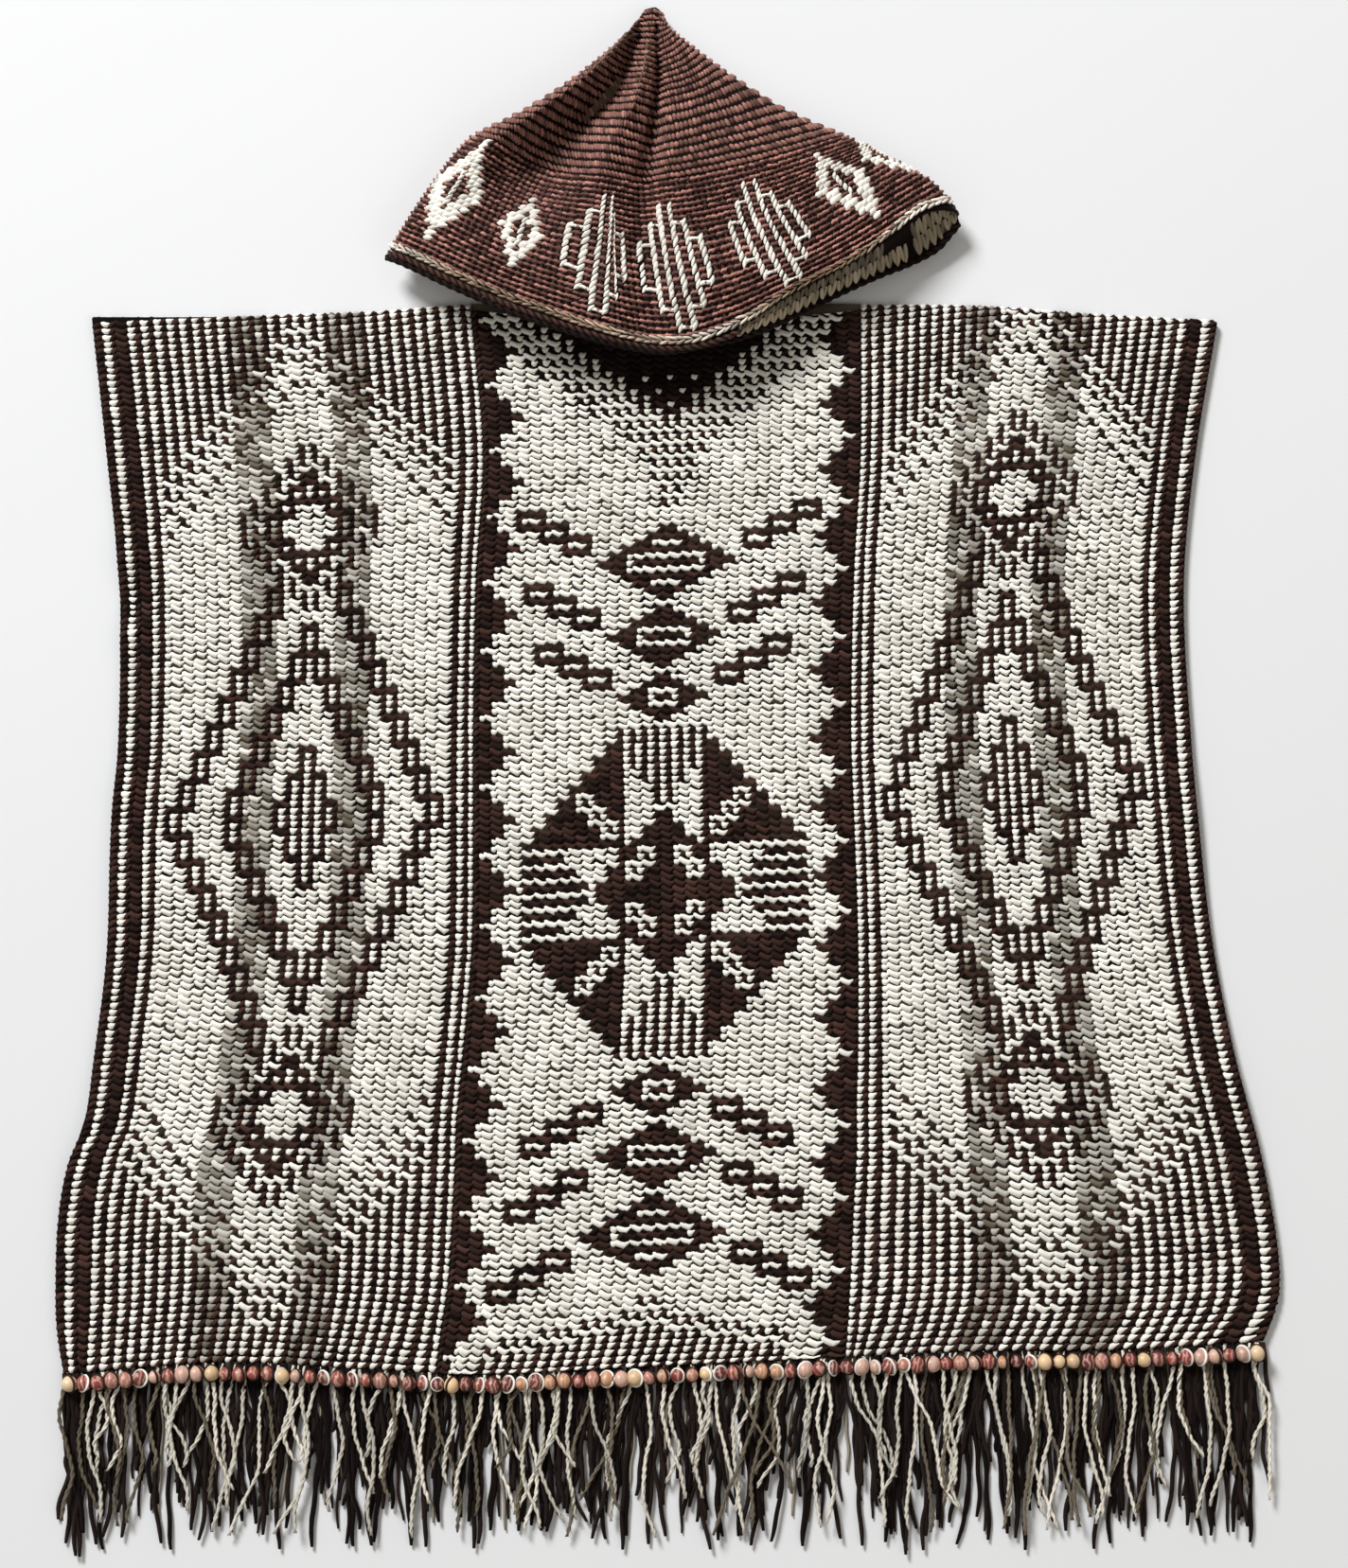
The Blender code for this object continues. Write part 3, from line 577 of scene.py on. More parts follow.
SIDE_WEB_COLUMNS = 27
WEB_LENGTH = 0.7560
SIDE_WEB_DOWNS = np.concatenate([
    np.linspace(-0.7545, -math.pi * FOLD_RADIUS, 16),
    np.linspace(-math.pi * FOLD_RADIUS, 0, 9)[1:-1],
    np.linspace(0, WEB_LENGTH, 46),
])
for strip in SIDE_STRIPS:
    dark, base = side_chart(strip.outer_side)
    centre = SIDE_CENTRE if strip.outer_side < 0 else SIDE_COLUMNS - 1 - SIDE_CENTRE
    marl = [centre + side * 2 * pairs for pairs in (3, 4, 5) for side in (-1, 1)]
    stitches = mesh_piece(
        strip.node + "_stitches", *crochet(side_place(strip), dark, base, body_yarn(marl)), yarn
    )
    points, quads, colours = crochet(side_place(strip, True), dark, base, body_yarn(marl), PLAIN)
    back_stitches = mesh_piece(strip.node + "_back_stitches", points, quads[:, ::-1], colours, yarn)
    web = side_web(strip, dark)
    for piece in (stitches, back_stitches, web):
        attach(piece, "root")
    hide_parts(strip.node)

# Centre strip
# The middle strip is two pieces of the same work, one down the front from the neck edge and one down the
# back, with a toothed brown border on both sides, three diamonds above and below, and a cross medallion.
CENTRE_COLUMNS = 63
CENTRE_ROWS = 155
CENTRE_MIDDLE_ROW = 88
CENTRE_ROW_PLACES = (RowPlace(0, -0.0063), RowPlace(40, 0.1819), RowPlace(88, 0.4167), RowPlace(154, 0.7558))
CENTRE = Strip("centre_front", "left_seam", "right_seam", 0, CENTRE_ROW_PLACES, 0.045, 1.0)
CENTRE_WIDTH = 0.275
CENTRE_HEM_PITCH = 0.005  # of rows past the end of the table
BACK_SHORT = 0.014  # how much shorter the back is at the hem
BACK_WEB_COLOUR = (0.16, 0.13, 0.09)
NECK_BACK_Y = 0.3447
NECK_FRONT_Y = 0.3400
NECK_DROP = 0.010
TEETH = (1, 3, 3, 5, 5, 7, 5, 5, 3, 3)  # width of the border in the ten rows from one notch to the next
FIRST_NOTCH = 12
Diamond = namedtuple("Diamond", "row size")
DIAMONDS = (Diamond(40, 5), Diamond(51, 4), Diamond(60, 3))
Box = namedtuple("Box", "column row")
STAIR_BOXES = (
    Box(23, 33), Box(19, 35), Box(15, 37), Box(21, 44), Box(17, 46), Box(13, 48),
    Box(19, 53), Box(15, 55), Box(11, 57),
)
CROSS_REACH = (11, 11, 9, 9, 7, 7, 7, 5, 3, 3, 1, 1)  # half width of the cross by rows from its middle
APEX_ROW = 21  # of the brown triangle that hangs from the neck


def centre_chart():
    """Which stitches of the centre strip show brown."""
    q = np.abs(np.arange(CENTRE_COLUMNS) - CENTRE_COLUMNS // 2)[None, :]
    row = np.arange(CENTRE_ROWS)[:, None]
    v = row - CENTRE_MIDDLE_ROW
    r = np.abs(v)
    base = q % 2 == 1
    pair = (q + 1) // 2
    dark = q >= CENTRE_COLUMNS // 2 + 1 - np.array(TEETH)[(row - FIRST_NOTCH) % len(TEETH)]
    for diamond in DIAMONDS:
        k = np.abs(r - (CENTRE_MIDDLE_ROW - diamond.row))
        n = diamond.size
        cream = ((k == 1) & (q <= 2 * (n - 2))) | ((k == 0) & (q == 2 * (n - 2)))
        cream |= (k == 3) & (q <= 2) & (n == 5)
        dark |= (k <= n) & (q <= 1 + 2 * (n - k)) & ~cream
    for box in STAIR_BOXES:
        off = np.abs(r - (CENTRE_MIDDLE_ROW - box.row))
        aside = np.abs(q - box.column)
        dark |= (aside <= 2) & (off <= 1) & ~((aside <= 1) & (off == 0))
    # Medallion: wedges, the bars between them and the cross
    dark |= (r >= 7) & (r <= 23) & (q >= 7) & (q <= 7 + 2 * ((23 - r) // 2))
    for column, low in ((1, 13), (3, 16), (5, 18)):
        dark |= (q == column) & (r >= low) & (r <= 23)
    for line, low in ((5, 17), (3, 15), (1, 13)):
        dark |= (r == line) & (q >= low) & (q <= 23)
    dark |= (r < len(CROSS_REACH)) & (q <= np.array(CROSS_REACH)[np.minimum(r, len(CROSS_REACH) - 1)])
    for box in (Box(13, 13), Box(11, 11), Box(9, 9), Box(3, 5), Box(5, 3)):
        dark &= ~(np.maximum(np.abs(q - box.column), np.abs(r - box.row)) == 1)
    # Triangle under the neck, with single cream stitches in it and dots below
    edge = APEX_ROW - 1.5 * pair
    pearls = (q % 2 == 0) & ((row + q) % 4 == 0) & (row > 10)
    dark |= (row < edge) & base & (q < 29)
    dark |= (row < edge - 3) & ~pearls & (q < 29)
    dark |= base & (row >= edge) & (row < edge + 7) & (row % 2 == 1) & (q < 29)
    for line, reach in ((21, 5), (23, 5), (25, 3), (27, 3), (29, 1), (31, 1)):
        dark |= base & (row == line) & (q <= reach)
    # Arch of stripes at the hem
    start = CENTRE_ROWS - 9 + pair // 3
    dark |= base & ((row >= start + 3) | (row == start + 1)) & (q < 25)
    dark |= (row == 145) & (q == 1)
    return dark, base[0]


def centre_point(share, down, height):
    """Points of the centre strip's front, whose upper end is cut in a shallow curve for the neck."""
    points = body_point(CENTRE, share, np.maximum(down, 0), height)
    neck = NECK_FRONT_Y - NECK_DROP * np.sin(math.pi * np.clip(share, 0, 1))
    points[:, 1] = np.minimum(points[:, 1], neck)
    return points


def centre_place(column, row, height):
    """Where a column and row of the centre strip's work lie on its front."""
    share = (column + 0.5) / CENTRE_COLUMNS
    down = column_of(CENTRE.row_places, "down", row)
    down += np.clip(row - CENTRE.row_places[-1].row, 0, None) * CENTRE_HEM_PITCH
    down -= (share - 0.5) * CENTRE_WIDTH * CENTRE.tilt * np.clip(1 - row / CENTRE_ROWS, 0, 1)
    down = np.minimum(down, BODY_LENGTH - EDGE)
    share = np.clip(share - hem_lean(share, down), EDGE, 1 - EDGE)
    return centre_point(share, down, height - STITCH_HEIGHT)


def back_point(share, down, depth):
    """Points of the centre strip's back, down from its straight neck edge."""
    left, right = (column_of(BODY_EDGES, name, down) for name in ("left_seam", "right_seam"))
    x = left * (1 - share) + right * share
    hem = column_of(BODY_ENDS, "hem", x) + BACK_SHORT
    y = NECK_BACK_Y - (NECK_BACK_Y - hem) * np.clip(down / BODY_LENGTH, 0, 1)
    return np.stack([x, y, depth], axis=1)


def centre_back_place(column, row, height):
    """Where a column and row of the centre strip's work lie on its back."""
    share = np.clip((column + 0.5) / CENTRE_COLUMNS, EDGE, 1 - EDGE)
    depth = STITCH_HEIGHT - np.minimum(height, STITCH_HEIGHT)
    return back_point(share, np.clip((row + 0.5) / CENTRE_ROWS, 0, 1) * BODY_LENGTH, depth)


def centre_yarn(columns, rows, is_dark):
    """The centre strip's yarn, with its brown in the triangle under the neck darkened as painted shade of the
    hood's rim.
    """
    colour = body_yarn()(columns, rows, is_dark)
    if is_dark:
        # Painted shade: brown stitches near the neck are darkened where the hood's rim shades them
        hood_rim_shade = np.clip((APEX_ROW - rows) / 8, 0, 1) * (np.abs(columns - CENTRE_COLUMNS // 2) < 28)
        colour = colour * (1 - 0.65 * hood_rim_shade[:, None])
    return colour


def centre_grid(rows, columns):
    """Even places across and down a web of the centre strip."""
    return grid_points(np.linspace(0.001, 0.999, columns), np.linspace(0.0, WEB_LENGTH, rows))


FRONT_WEB_GRID = (78, 33)
BACK_WEB_GRID = (30, 14)
dark, base = centre_chart()
front_stitches = mesh_piece("centre_front_stitches", *crochet(centre_place, dark, base, centre_yarn), yarn)
share, down = centre_grid(*FRONT_WEB_GRID)
tone = shaded_web_tone(dark, share * CENTRE_COLUMNS - 0.5, down / BODY_LENGTH * CENTRE_ROWS)
faces = [centre_point(share, down, np.full(share.size, -depth)) for depth in WEB_DEPTHS]
front_web = web_piece("centre_front_web", *faces, FRONT_WEB_GRID, np.tile(tone, (2, 1)), yarn)
points, quads, colours = crochet(centre_back_place, dark, base, body_yarn(), PLAIN)
centre_back_stitches = mesh_piece("centre_back_stitches", points, quads[:, ::-1], colours, yarn)
share, down = centre_grid(*BACK_WEB_GRID)
faces = [back_point(share, down, np.full(share.size, height)) for height in (STITCH_HEIGHT, WALL)]
back_web = web_piece("centre_back_web", *faces, BACK_WEB_GRID, BACK_WEB_COLOUR, yarn, turned=True)
for piece in (front_stitches, front_web, centre_back_stitches, back_web):
    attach(piece, "root")
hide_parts("centre_front")
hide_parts("centre_back")

# Hood crown
# The plain upper half of the hood, worked in rounds from the tip in red-brown yarn. Each round is a rib of
# slanting stitches. A crease runs down from the tip, and the cloth sinks on both sides of it.
HOOD_WALL = 0.0036
CROWN_SHARE = 0.5
SEAM_SHARE = 0.001  # crown and band stay this far from their seam
Level = namedtuple("Level", "share height side")
HOOD_LEVELS = (
    Level(0.00, 0.0100, 0.0050),
    Level(0.12, 0.0190, 0.0085),
    Level(0.30, 0.0290, 0.0120),
    Level(0.50, 0.0400, 0.0170),
    Level(0.70, 0.0450, 0.0190),
    Level(0.85, 0.0470, 0.0200),
    Level(1.00, 0.0440, 0.0200),
)
Top = namedtuple("Top", "share left left_top middle right_top right")
HOOD_TOP = (
    Top(0.00, (-0.0205, 0.5485), (-0.0180, 0.5545), (-0.0112, 0.5570), (-0.0045, 0.5545), (-0.0020, 0.5480)),
    Top(0.12, (-0.0350, 0.5350), (-0.0230, 0.5310), (-0.0105, 0.5285), (-0.0010, 0.5320), (0.0068, 0.5385)),
    Top(0.30, (-0.0720, 0.5040), (-0.0380, 0.4940), (-0.0095, 0.4890), (0.0200, 0.4955), (0.0440, 0.5095)),
    Top(0.40, (-0.1075, 0.4810), (-0.0600, 0.4665), (-0.0100, 0.4565), (0.0380, 0.4670), (0.0860, 0.4825)),
    Top(0.50, (-0.1400, 0.4640), (-0.0755, 0.4375), (-0.0110, 0.4290), (0.0610, 0.4425), (0.1275, 0.4640)),
    Top(0.70, (-0.1665, 0.4330), (-0.0890, 0.4000), (-0.0060, 0.3855), (0.0775, 0.4060), (0.1560, 0.4490)),
    Top(0.85, (-0.1840, 0.4080), (-0.0960, 0.3670), (0.0010, 0.3460), (0.0945, 0.3770), (0.1860, 0.4330)),
    Top(1.00, (-0.2000, 0.3825), (-0.1020, 0.3385), (0.0095, 0.3110), (0.1100, 0.3545), (0.2090, 0.4080)),
)
TOP_PLACES = (0.0, 0.25, 0.5, 0.75, 1.0)
Under = namedtuple("Under", "share left_lip left_floor middle_floor right_floor right_lip")
HOOD_UNDER = (
    Under(0.0, (-0.0175, 0.5520), (-0.0145, 0.5550), (-0.0108, 0.5566), (-0.0075, 0.5545), (-0.0050, 0.5515)),
    Under(0.12, (-0.0325, 0.5352), (-0.0250, 0.5345), (-0.0110, 0.5340), (0.0000, 0.5360), (0.0047, 0.5375)),
    Under(0.30, (-0.0675, 0.5015), (-0.0500, 0.4980), (-0.0100, 0.4970), (0.0240, 0.5010), (0.0400, 0.5065)),
    Under(0.50, (-0.1310, 0.4590), (-0.0990, 0.4520), (-0.0070, 0.4515), (0.0850, 0.4560), (0.1190, 0.4605)),
    Under(0.70, (-0.1600, 0.4250), (-0.1265, 0.4110), (-0.0040, 0.4110), (0.1180, 0.4210), (0.1520, 0.4390)),
    Under(0.85, (-0.1770, 0.3975), (-0.1370, 0.3765), (-0.0020, 0.3765), (0.1260, 0.3905), (0.1780, 0.4180)),
    Under(1.00, (-0.1900, 0.3760), (-0.1330, 0.3500), (-0.0020, 0.3455), (0.1280, 0.3640), (0.2000, 0.3960)),
)
UNDER_PLACES = (0.0, 0.06, 0.18, 0.5, 0.82, 0.94, 1.0)
DOME_POWER = 2.4
UNDER_POWER = 6.0
# Soft folds of the top: the crease's ridge, the valley on its right, the dent on its left and the puffed
# left fold. The first table says where they run across the top and the second how far they rise.
Folds = namedtuple("Folds", "share ridge valley dent puff")
FOLD_PLACES = (
    Folds(0.00, 0.42, 0.58, 0.25, 0.08), Folds(0.12, 0.42, 0.56, 0.24, 0.08),
    Folds(0.30, 0.38, 0.51, 0.22, 0.07), Folds(0.50, 0.355, 0.475, 0.20, 0.06),
    Folds(0.75, 0.38, 0.46, 0.22, 0.06), Folds(1.00, 0.39, 0.46, 0.25, 0.06),
)
FOLD_RISES = (
    Folds(0.00, 0.0000, 0.0000, 0.0000, 0.0), Folds(0.12, 0.0040, -0.0070, -0.0085, 0.0050),
    Folds(0.30, 0.0080, -0.0140, -0.0230, 0.0120), Folds(0.50, 0.0085, -0.0160, -0.0255, 0.0120),
    Folds(0.75, 0.0065, -0.0100, -0.0075, 0.0030), Folds(1.00, 0.0005, -0.0010, 0.0, 0.0),
)
FOLD_WIDTHS = Folds(None, 0.042, 0.038, 0.095, 0.045)
SLOPE_STEP = 0.006  # over which the cloth's slope is read
ARC_POINTS = 301
CROWN_RING, BAND_RING, RIM_RING = 0.4, 0.75, 0.9  # rings that stitches are spaced evenly along
CROWN_ROWS = 25
CROWN_PITCH = 0.0034  # from stitch to stitch along a round
CROWN_BROWN = (0.235, 0.116, 0.093)
# Painted shade: the hood's web, which shows only in the gaps between its stitches, is coloured near black
HOOD_WEB_SHADE = (0.006, 0.002, 0.0015)
HOOD_INSIDE = (0.10, 0.08, 0.055)
HOOD_WEB_OVER = 61  # points of a ring of the web over the hood
HOOD_WEB_BELOW = 25  # and under it
TIP_WALL = 0.10  # the hollow starts at this share, because the tip is solid


def hood_plan(table, share):
    """The named plan points of a hood table at some shares, as an array (shares, points, 2)."""
    sides = np.array([[getattr(row, name) for name in table[0]._fields[1:]] for row in table])
    return np.einsum("nl,lfc->nfc", weights_between([row.share for row in table], share), sides)


def hood_surface(share, across, under):
    """Points on the hood's outer face: on a ring's top from the left fold to the right, or under it."""
    plan, places = hood_plan(HOOD_TOP, share), TOP_PLACES
    if under:
        ends = plan
        plan, places = hood_plan(HOOD_UNDER, share), UNDER_PLACES
        plan = np.concatenate([ends[:, :1], plan, ends[:, -1:]], axis=1)
    flat = np.einsum("nf,nfc->nc", weights_between(places, across), plan)
    side = column_of(HOOD_LEVELS, "side", share)
    edge = np.abs(2 * across - 1)
    if under:
        turned = (across < UNDER_PLACES[2]) | (across > UNDER_PLACES[4])
        z = np.where(turned, side * edge**UNDER_POWER, 0.0)
    else:
        height = column_of(HOOD_LEVELS, "height", share)
        z = side + (height - side) * np.clip(1 - edge**DOME_POWER, 0, None) ** (1 / DOME_POWER)
        for fold in Folds._fields[1:]:
            off = (across - column_of(FOLD_PLACES, fold, share)) / getattr(FOLD_WIDTHS, fold)
            z = z + column_of(FOLD_RISES, fold, share) * np.exp(-off * off)
    return np.column_stack([flat, z])


def hood_point(share, across, height, under=False):
    """Points at a height out of the hood's outer face."""
    share, across = np.clip(share, 0, 1), np.clip(across, 0, 1)
    steps = (SLOPE_STEP, -SLOPE_STEP)
    ahead, behind = (hood_surface(np.clip(share + step, 0, 1), across, under) for step in steps)
    right, left = (hood_surface(share, np.clip(across + step, 0, 1), under) for step in steps)
    out = np.cross(right - left, ahead - behind) * (1 if under else -1)
    out /= np.maximum(np.linalg.norm(out, axis=1, keepdims=True), 1e-9)
    points = hood_surface(share, across, under) + out * np.asarray(height)[:, None]
    points[:, 2] = np.maximum(points[:, 2], 0.0)
    return points


def arc_table(share, under):
    """Places across a ring and its length up to each."""
    across = np.linspace(0, 1, ARC_POINTS)
    points = hood_surface(np.full(ARC_POINTS, share), across, under)
    lengths = np.concatenate([[0], np.cumsum(np.linalg.norm(np.diff(points, axis=0), axis=1))])
    return across, lengths


def evenly_across(share, at, under=False):
    """Places across the rings at even shares of their length, read from the ring at one share."""
    across, lengths = arc_table(share, under)
    return np.interp(at, lengths / lengths[-1], across)


def hood_web(name, shares, capped, rim_share=None):
    """The web of one part of the hood: a closed thin cloth all the way round. rim_share says how far the
    last ring reaches on the top, for each even share of its length."""
    even = np.linspace(0, 1, HOOD_WEB_OVER)
    over = evenly_across(BAND_RING, even)
    below = evenly_across(BAND_RING, np.linspace(0, 1, HOOD_WEB_BELOW), True)[::-1][1:-1]
    stretch = (rim_share(even) - shares[0]) / (shares[-1] - shares[0]) if rim_share else np.ones(len(even))
    outer, inner = [], []
    inner_shares = TIP_WALL + shares / shares[-1] * (shares[-1] - TIP_WALL) if capped else shares
    for depth, faces, face_shares in ((STITCH_HEIGHT, outer, shares), (HOOD_WALL, inner, inner_shares)):
        for share in face_shares:
            top_shares = face_shares[0] + (share - face_shares[0]) * stretch
            ring = [
                hood_point(top_shares, over, np.full(len(over), -depth)),
                hood_point(np.full(len(below), share), below, np.full(len(below), -depth), True),
            ]
            faces.append(np.concatenate(ring))
    columns = len(outer[0])
    points = np.concatenate(outer + inner)
    quads = cloth_quads(len(shares), columns, wrap=True, capped=capped)
    triangles = []
    if capped:
        tips = np.array([outer[0].mean(axis=0), inner[0].mean(axis=0)])
        count = len(points) // 2
        ahead = np.arange(columns)
        after = (ahead + 1) % columns
        triangles = np.concatenate([
            np.stack([ahead, after, np.full(columns, len(points))], axis=1),
            np.stack([after + count, ahead + count, np.full(columns, len(points) + 1)], axis=1),
        ])
        points = np.concatenate([points, tips])
    # The outer face is painted near black as shade between the stitches
    colour = np.tile(HOOD_WEB_SHADE, (len(points), 1))
    colour[len(outer) * columns:len(outer + inner) * columns] = HOOD_INSIDE
    return mesh_piece(name, points, quads, colour, hood_yarn, triangles)


CROWN_STITCH = (
    Ring(-0.58, -0.22, 0.10, 0.10), Ring(-0.24, -0.08, 0.30, 0.95), Ring(0.20, 0.08, 0.31, 1.10),
    Ring(0.60, 0.22, 0.10, 0.10),
)


def crown_place(under):
    """Where a stitch of the crown lies, by its column from the middle of a round and its round from the tip,
    and how many stitches a round has."""
    steps = np.linspace(0, CROWN_SHARE, 12)
    widths = np.array([arc_table(share, under)[1][-1] for share in steps])

    def place(column, row, height):
        share = (row + 0.5) / CROWN_ROWS * CROWN_SHARE
        at = 0.5 + column * CROWN_PITCH / np.interp(share, steps, widths)
        across = evenly_across(CROWN_RING, np.clip(at, 0, 1), under)
        return hood_point(np.minimum(share, CROWN_SHARE - SEAM_SHARE), across, height - STITCH_HEIGHT, under)

    return place, lambda row: np.interp((row + 0.5) / CROWN_ROWS * CROWN_SHARE, steps, widths) / CROWN_PITCH


hood_yarn = yarn_material("hood yarn", roughness=0.85, bump=0.6, fading=0.25, sheen=0.03)
parts = []
for under, shape in ((False, stitch_shape(CROWN_STITCH)), (True, PLAIN.cream)):
    place, count_in = crown_place(under)
    columns, rows = [], []
    for row in range(CROWN_ROWS):
        count = int(count_in(row))
        columns.append(np.arange(count) - (count - 1) / 2 + 0.5 * (row % 2))
        rows.append(np.full(count, row))
    columns, rows = np.concatenate(columns), np.concatenate(rows)
    parts.append(toned_stitches(place, columns, rows, shape, CROWN_BROWN, 0.32, jitter=0.05, inward=under))
crown_stitches = mesh_piece("hood_crown_stitches", *joined(parts), hood_yarn)
crown_web = hood_web("hood_crown_web", np.linspace(0.0, CROWN_SHARE - SEAM_SHARE, 26), capped=True)
for piece in (crown_stitches, crown_web):
    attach(piece, "root")
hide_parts("hood_crown")

# Hood band
# The lower half of the hood, in darker yarn worked as a close net, with cream lozenges and stepped stripe
# motifs of raised chains. The crease pulls the motif on its left together. A pale chain runs near the rim.
BAND_ROWS = 25
BAND_COLUMNS = 82
UNDER_COLUMNS = 66
BAND_BROWN = (0.258, 0.124, 0.102)
POST_SHADE = 0.20  # the posts between the net's chains lie in their shade
BAND_CREAM = (0.80, 0.77, 0.70)
NET_CHAIN = (
    Ring(-0.60, 0.12, 0.12, 0.05), Ring(-0.22, -0.06, 0.28, 1.15), Ring(0.22, 0.04, 0.27, 1.45),
    Ring(0.60, -0.12, 0.12, 0.05),
)
NET_POST = (
    Ring(-0.52, 0.08, 0.14, 0.20), Ring(0.02, 0.0, 0.26, 0.90), Ring(0.52, -0.10, 0.14, 0.20),
)
RAISED_LINK = (
    Ring(-0.70, 0.34, 0.10, 0.50), Ring(-0.24, 0.08, 0.35, 1.35), Ring(0.20, -0.10, 0.34, 1.40),
    Ring(0.68, -0.40, 0.08, 0.60),
)
RAISED_BAR = (
    Ring(-1.10, 0.16, 0.14, 0.70), Ring(-0.40, -0.08, 0.30, 1.35), Ring(0.40, 0.04, 0.30, 1.35),
    Ring(1.10, -0.14, 0.14, 0.70),
)
KNOT = (
    Ring(-0.74, 0.26, 0.22, 0.40), Ring(-0.24, 0.06, 0.56, 1.10), Ring(0.22, -0.08, 0.52, 1.20),
    Ring(0.76, -0.30, 0.18, 0.40),
)
Motif = namedtuple("Motif", "kind across row half_width half_height")
MOTIFS = (
    Motif("lozenge", 0.055, 9.5, 4, 9),
    Motif("lozenge", 0.212, 11.5, 3, 6),
    Motif("stripes", 0.350, 12.5, 5, 9),
    Motif("stripes", 0.515, 13.0, 5, 9),
    Motif("stripes", 0.690, 11.5, 6, 9),
    Motif("lozenge", 0.865, 10.0, 4, 8),
    Motif("lozenge", 0.985, 8.5, 4, 8),
)
RIM_EDGE = 0.9985  # share of the hood that stitches stay inside
CREASE_AT = 0.40  # where the crease lies along a ring
PINCH_REACH = 0.10
Pinch = namedtuple("Pinch", "share power")
PINCHES = (Pinch(0.50, 2.3), Pinch(0.70, 1.9), Pinch(0.85, 1.3), Pinch(1.00, 1.0))


def band_chart():
    """Where the band shows cream: solid lozenges, links of upright chains, and bars between the chains."""
    column = np.arange(BAND_COLUMNS)[None, :]
    row = np.arange(BAND_ROWS)[:, None]
    knots, links, bars = (np.zeros((BAND_ROWS, BAND_COLUMNS), bool) for _ in range(3))
    for motif in MOTIFS:
        c = np.abs(column - round(motif.across * BAND_COLUMNS))
        down = row - round(motif.row)
        r = np.abs(down)
        if motif.kind == "lozenge":
            size = c / motif.half_width + r / motif.half_height
            knots |= (size <= 1.12) & (size > 0.55)
            links |= (c == 0) & (r <= motif.half_height // 3)
        else:
            reach = motif.half_height - 3 * (c // 2)
            links |= (c % 2 == 1) & (c <= motif.half_width) & (r <= reach)
            outer_reach = motif.half_height - 3 * ((c + 1) // 2)
            bars |= (c % 2 == 0) & (c > 0) & (c < motif.half_width) & (r == outer_reach)
            bars |= (c == 0) & (down == motif.half_height)
    return knots, links & ~knots, bars & ~knots


def pinched(at, share):
    """The columns on the left of the crease crowd towards it, most of all near the crown."""
    off = np.clip((CREASE_AT - at) / PINCH_REACH, 0, 1)
    power = np.interp(share, [pinch.share for pinch in PINCHES], [pinch.power for pinch in PINCHES])
    return np.where((off > 0) & (off < 1), CREASE_AT - PINCH_REACH * off**power, at)


def band_share(row):
    """How far down the hood a row of the band lies."""
    return CROWN_SHARE + (row + 0.5) / BAND_ROWS * (1 - CROWN_SHARE)


def band_point(share, across, height, under=False):
    """Points of the band's stitches, which stay between its seam and the rim."""
    share = np.clip(share, CROWN_SHARE + SEAM_SHARE, RIM_EDGE)
    return hood_point(share, across, height - STITCH_HEIGHT, under)


def band_place(column, row, height):
    """Where a stitch of the band's upper side lies."""
    share = band_share(row)
    at = pinched(np.clip((column + 0.5) / BAND_COLUMNS, 0, 1), share)
    return band_point(share, evenly_across(BAND_RING, at), height)


def band_under_place(column, row, height):
    """Where a stitch of the band's under side lies."""
    at = np.clip((column + 0.5) / UNDER_COLUMNS, 0, 1)
    return band_point(band_share(row), evenly_across(BAND_RING, at, True), height, True)


def upright(shape):
    """The same stitch with its length down the cloth."""
    points, quads = shape
    return points[:, [1, 0, 2]], quads[:, ::-1]


def slanted(shape):
    """The same stitch with its bend the other way."""
    points, quads = shape
    return points * np.array([1, -1, 1]), quads[:, ::-1]


# How far towards the rim the pale chain lies, and how far the top's cloth goes
ChainPlace = namedtuple("ChainPlace", "at share rim")
CHAIN_PLACES = (
    ChainPlace(0.00, 0.985, 1.0), ChainPlace(0.30, 0.985, 1.0), ChainPlace(0.50, 0.985, 1.0),
    ChainPlace(0.60, 0.978, 1.0), ChainPlace(0.66, 0.966, 0.985), ChainPlace(0.75, 0.962, 0.980),
    ChainPlace(0.82, 0.957, 0.975), ChainPlace(0.88, 0.940, 0.960), ChainPlace(0.94, 0.925, 0.950),
    ChainPlace(1.00, 0.950, 1.0),
)
CHAIN_STITCHES = 78
CHAIN_STEP = 0.026  # what a row of the chain is, as a share of the hood
CHAIN_OVERLAP = 0.005  # the net goes on this far under it
CHAIN_FADE = (1.0, 1.25, 1.5)  # where the chain is darker it is also warmer
CHAIN_LINK = (
    Ring(-0.70, 0.44, 0.08, 0.05), Ring(-0.30, 0.34, 0.19, 1.3), Ring(0.20, 0.20, 0.19, 1.7),
    Ring(0.66, 0.04, 0.08, 0.2),
)
ChainTone = namedtuple("ChainTone", "at pale")
CHAIN_TONES = (
    ChainTone(0.00, 0.90), ChainTone(0.06, 0.75), ChainTone(0.13, 0.40), ChainTone(0.30, 0.36),
    ChainTone(0.42, 0.50), ChainTone(0.50, 0.70), ChainTone(0.56, 0.85), ChainTone(0.66, 0.34),
    ChainTone(0.80, 0.30), ChainTone(0.90, 0.80), ChainTone(1.00, 0.95),
)


def chain_place(column, row, height):
    """Where a stitch of the pale chain lies."""
    at = np.clip((column + 0.5) / CHAIN_STITCHES, 0, 1)
    share = column_of(CHAIN_PLACES, "share", at) + row * CHAIN_STEP
    return hood_point(np.clip(share, 0, RIM_EDGE), evenly_across(RIM_RING, at), height - 0.5 * STITCH_HEIGHT)


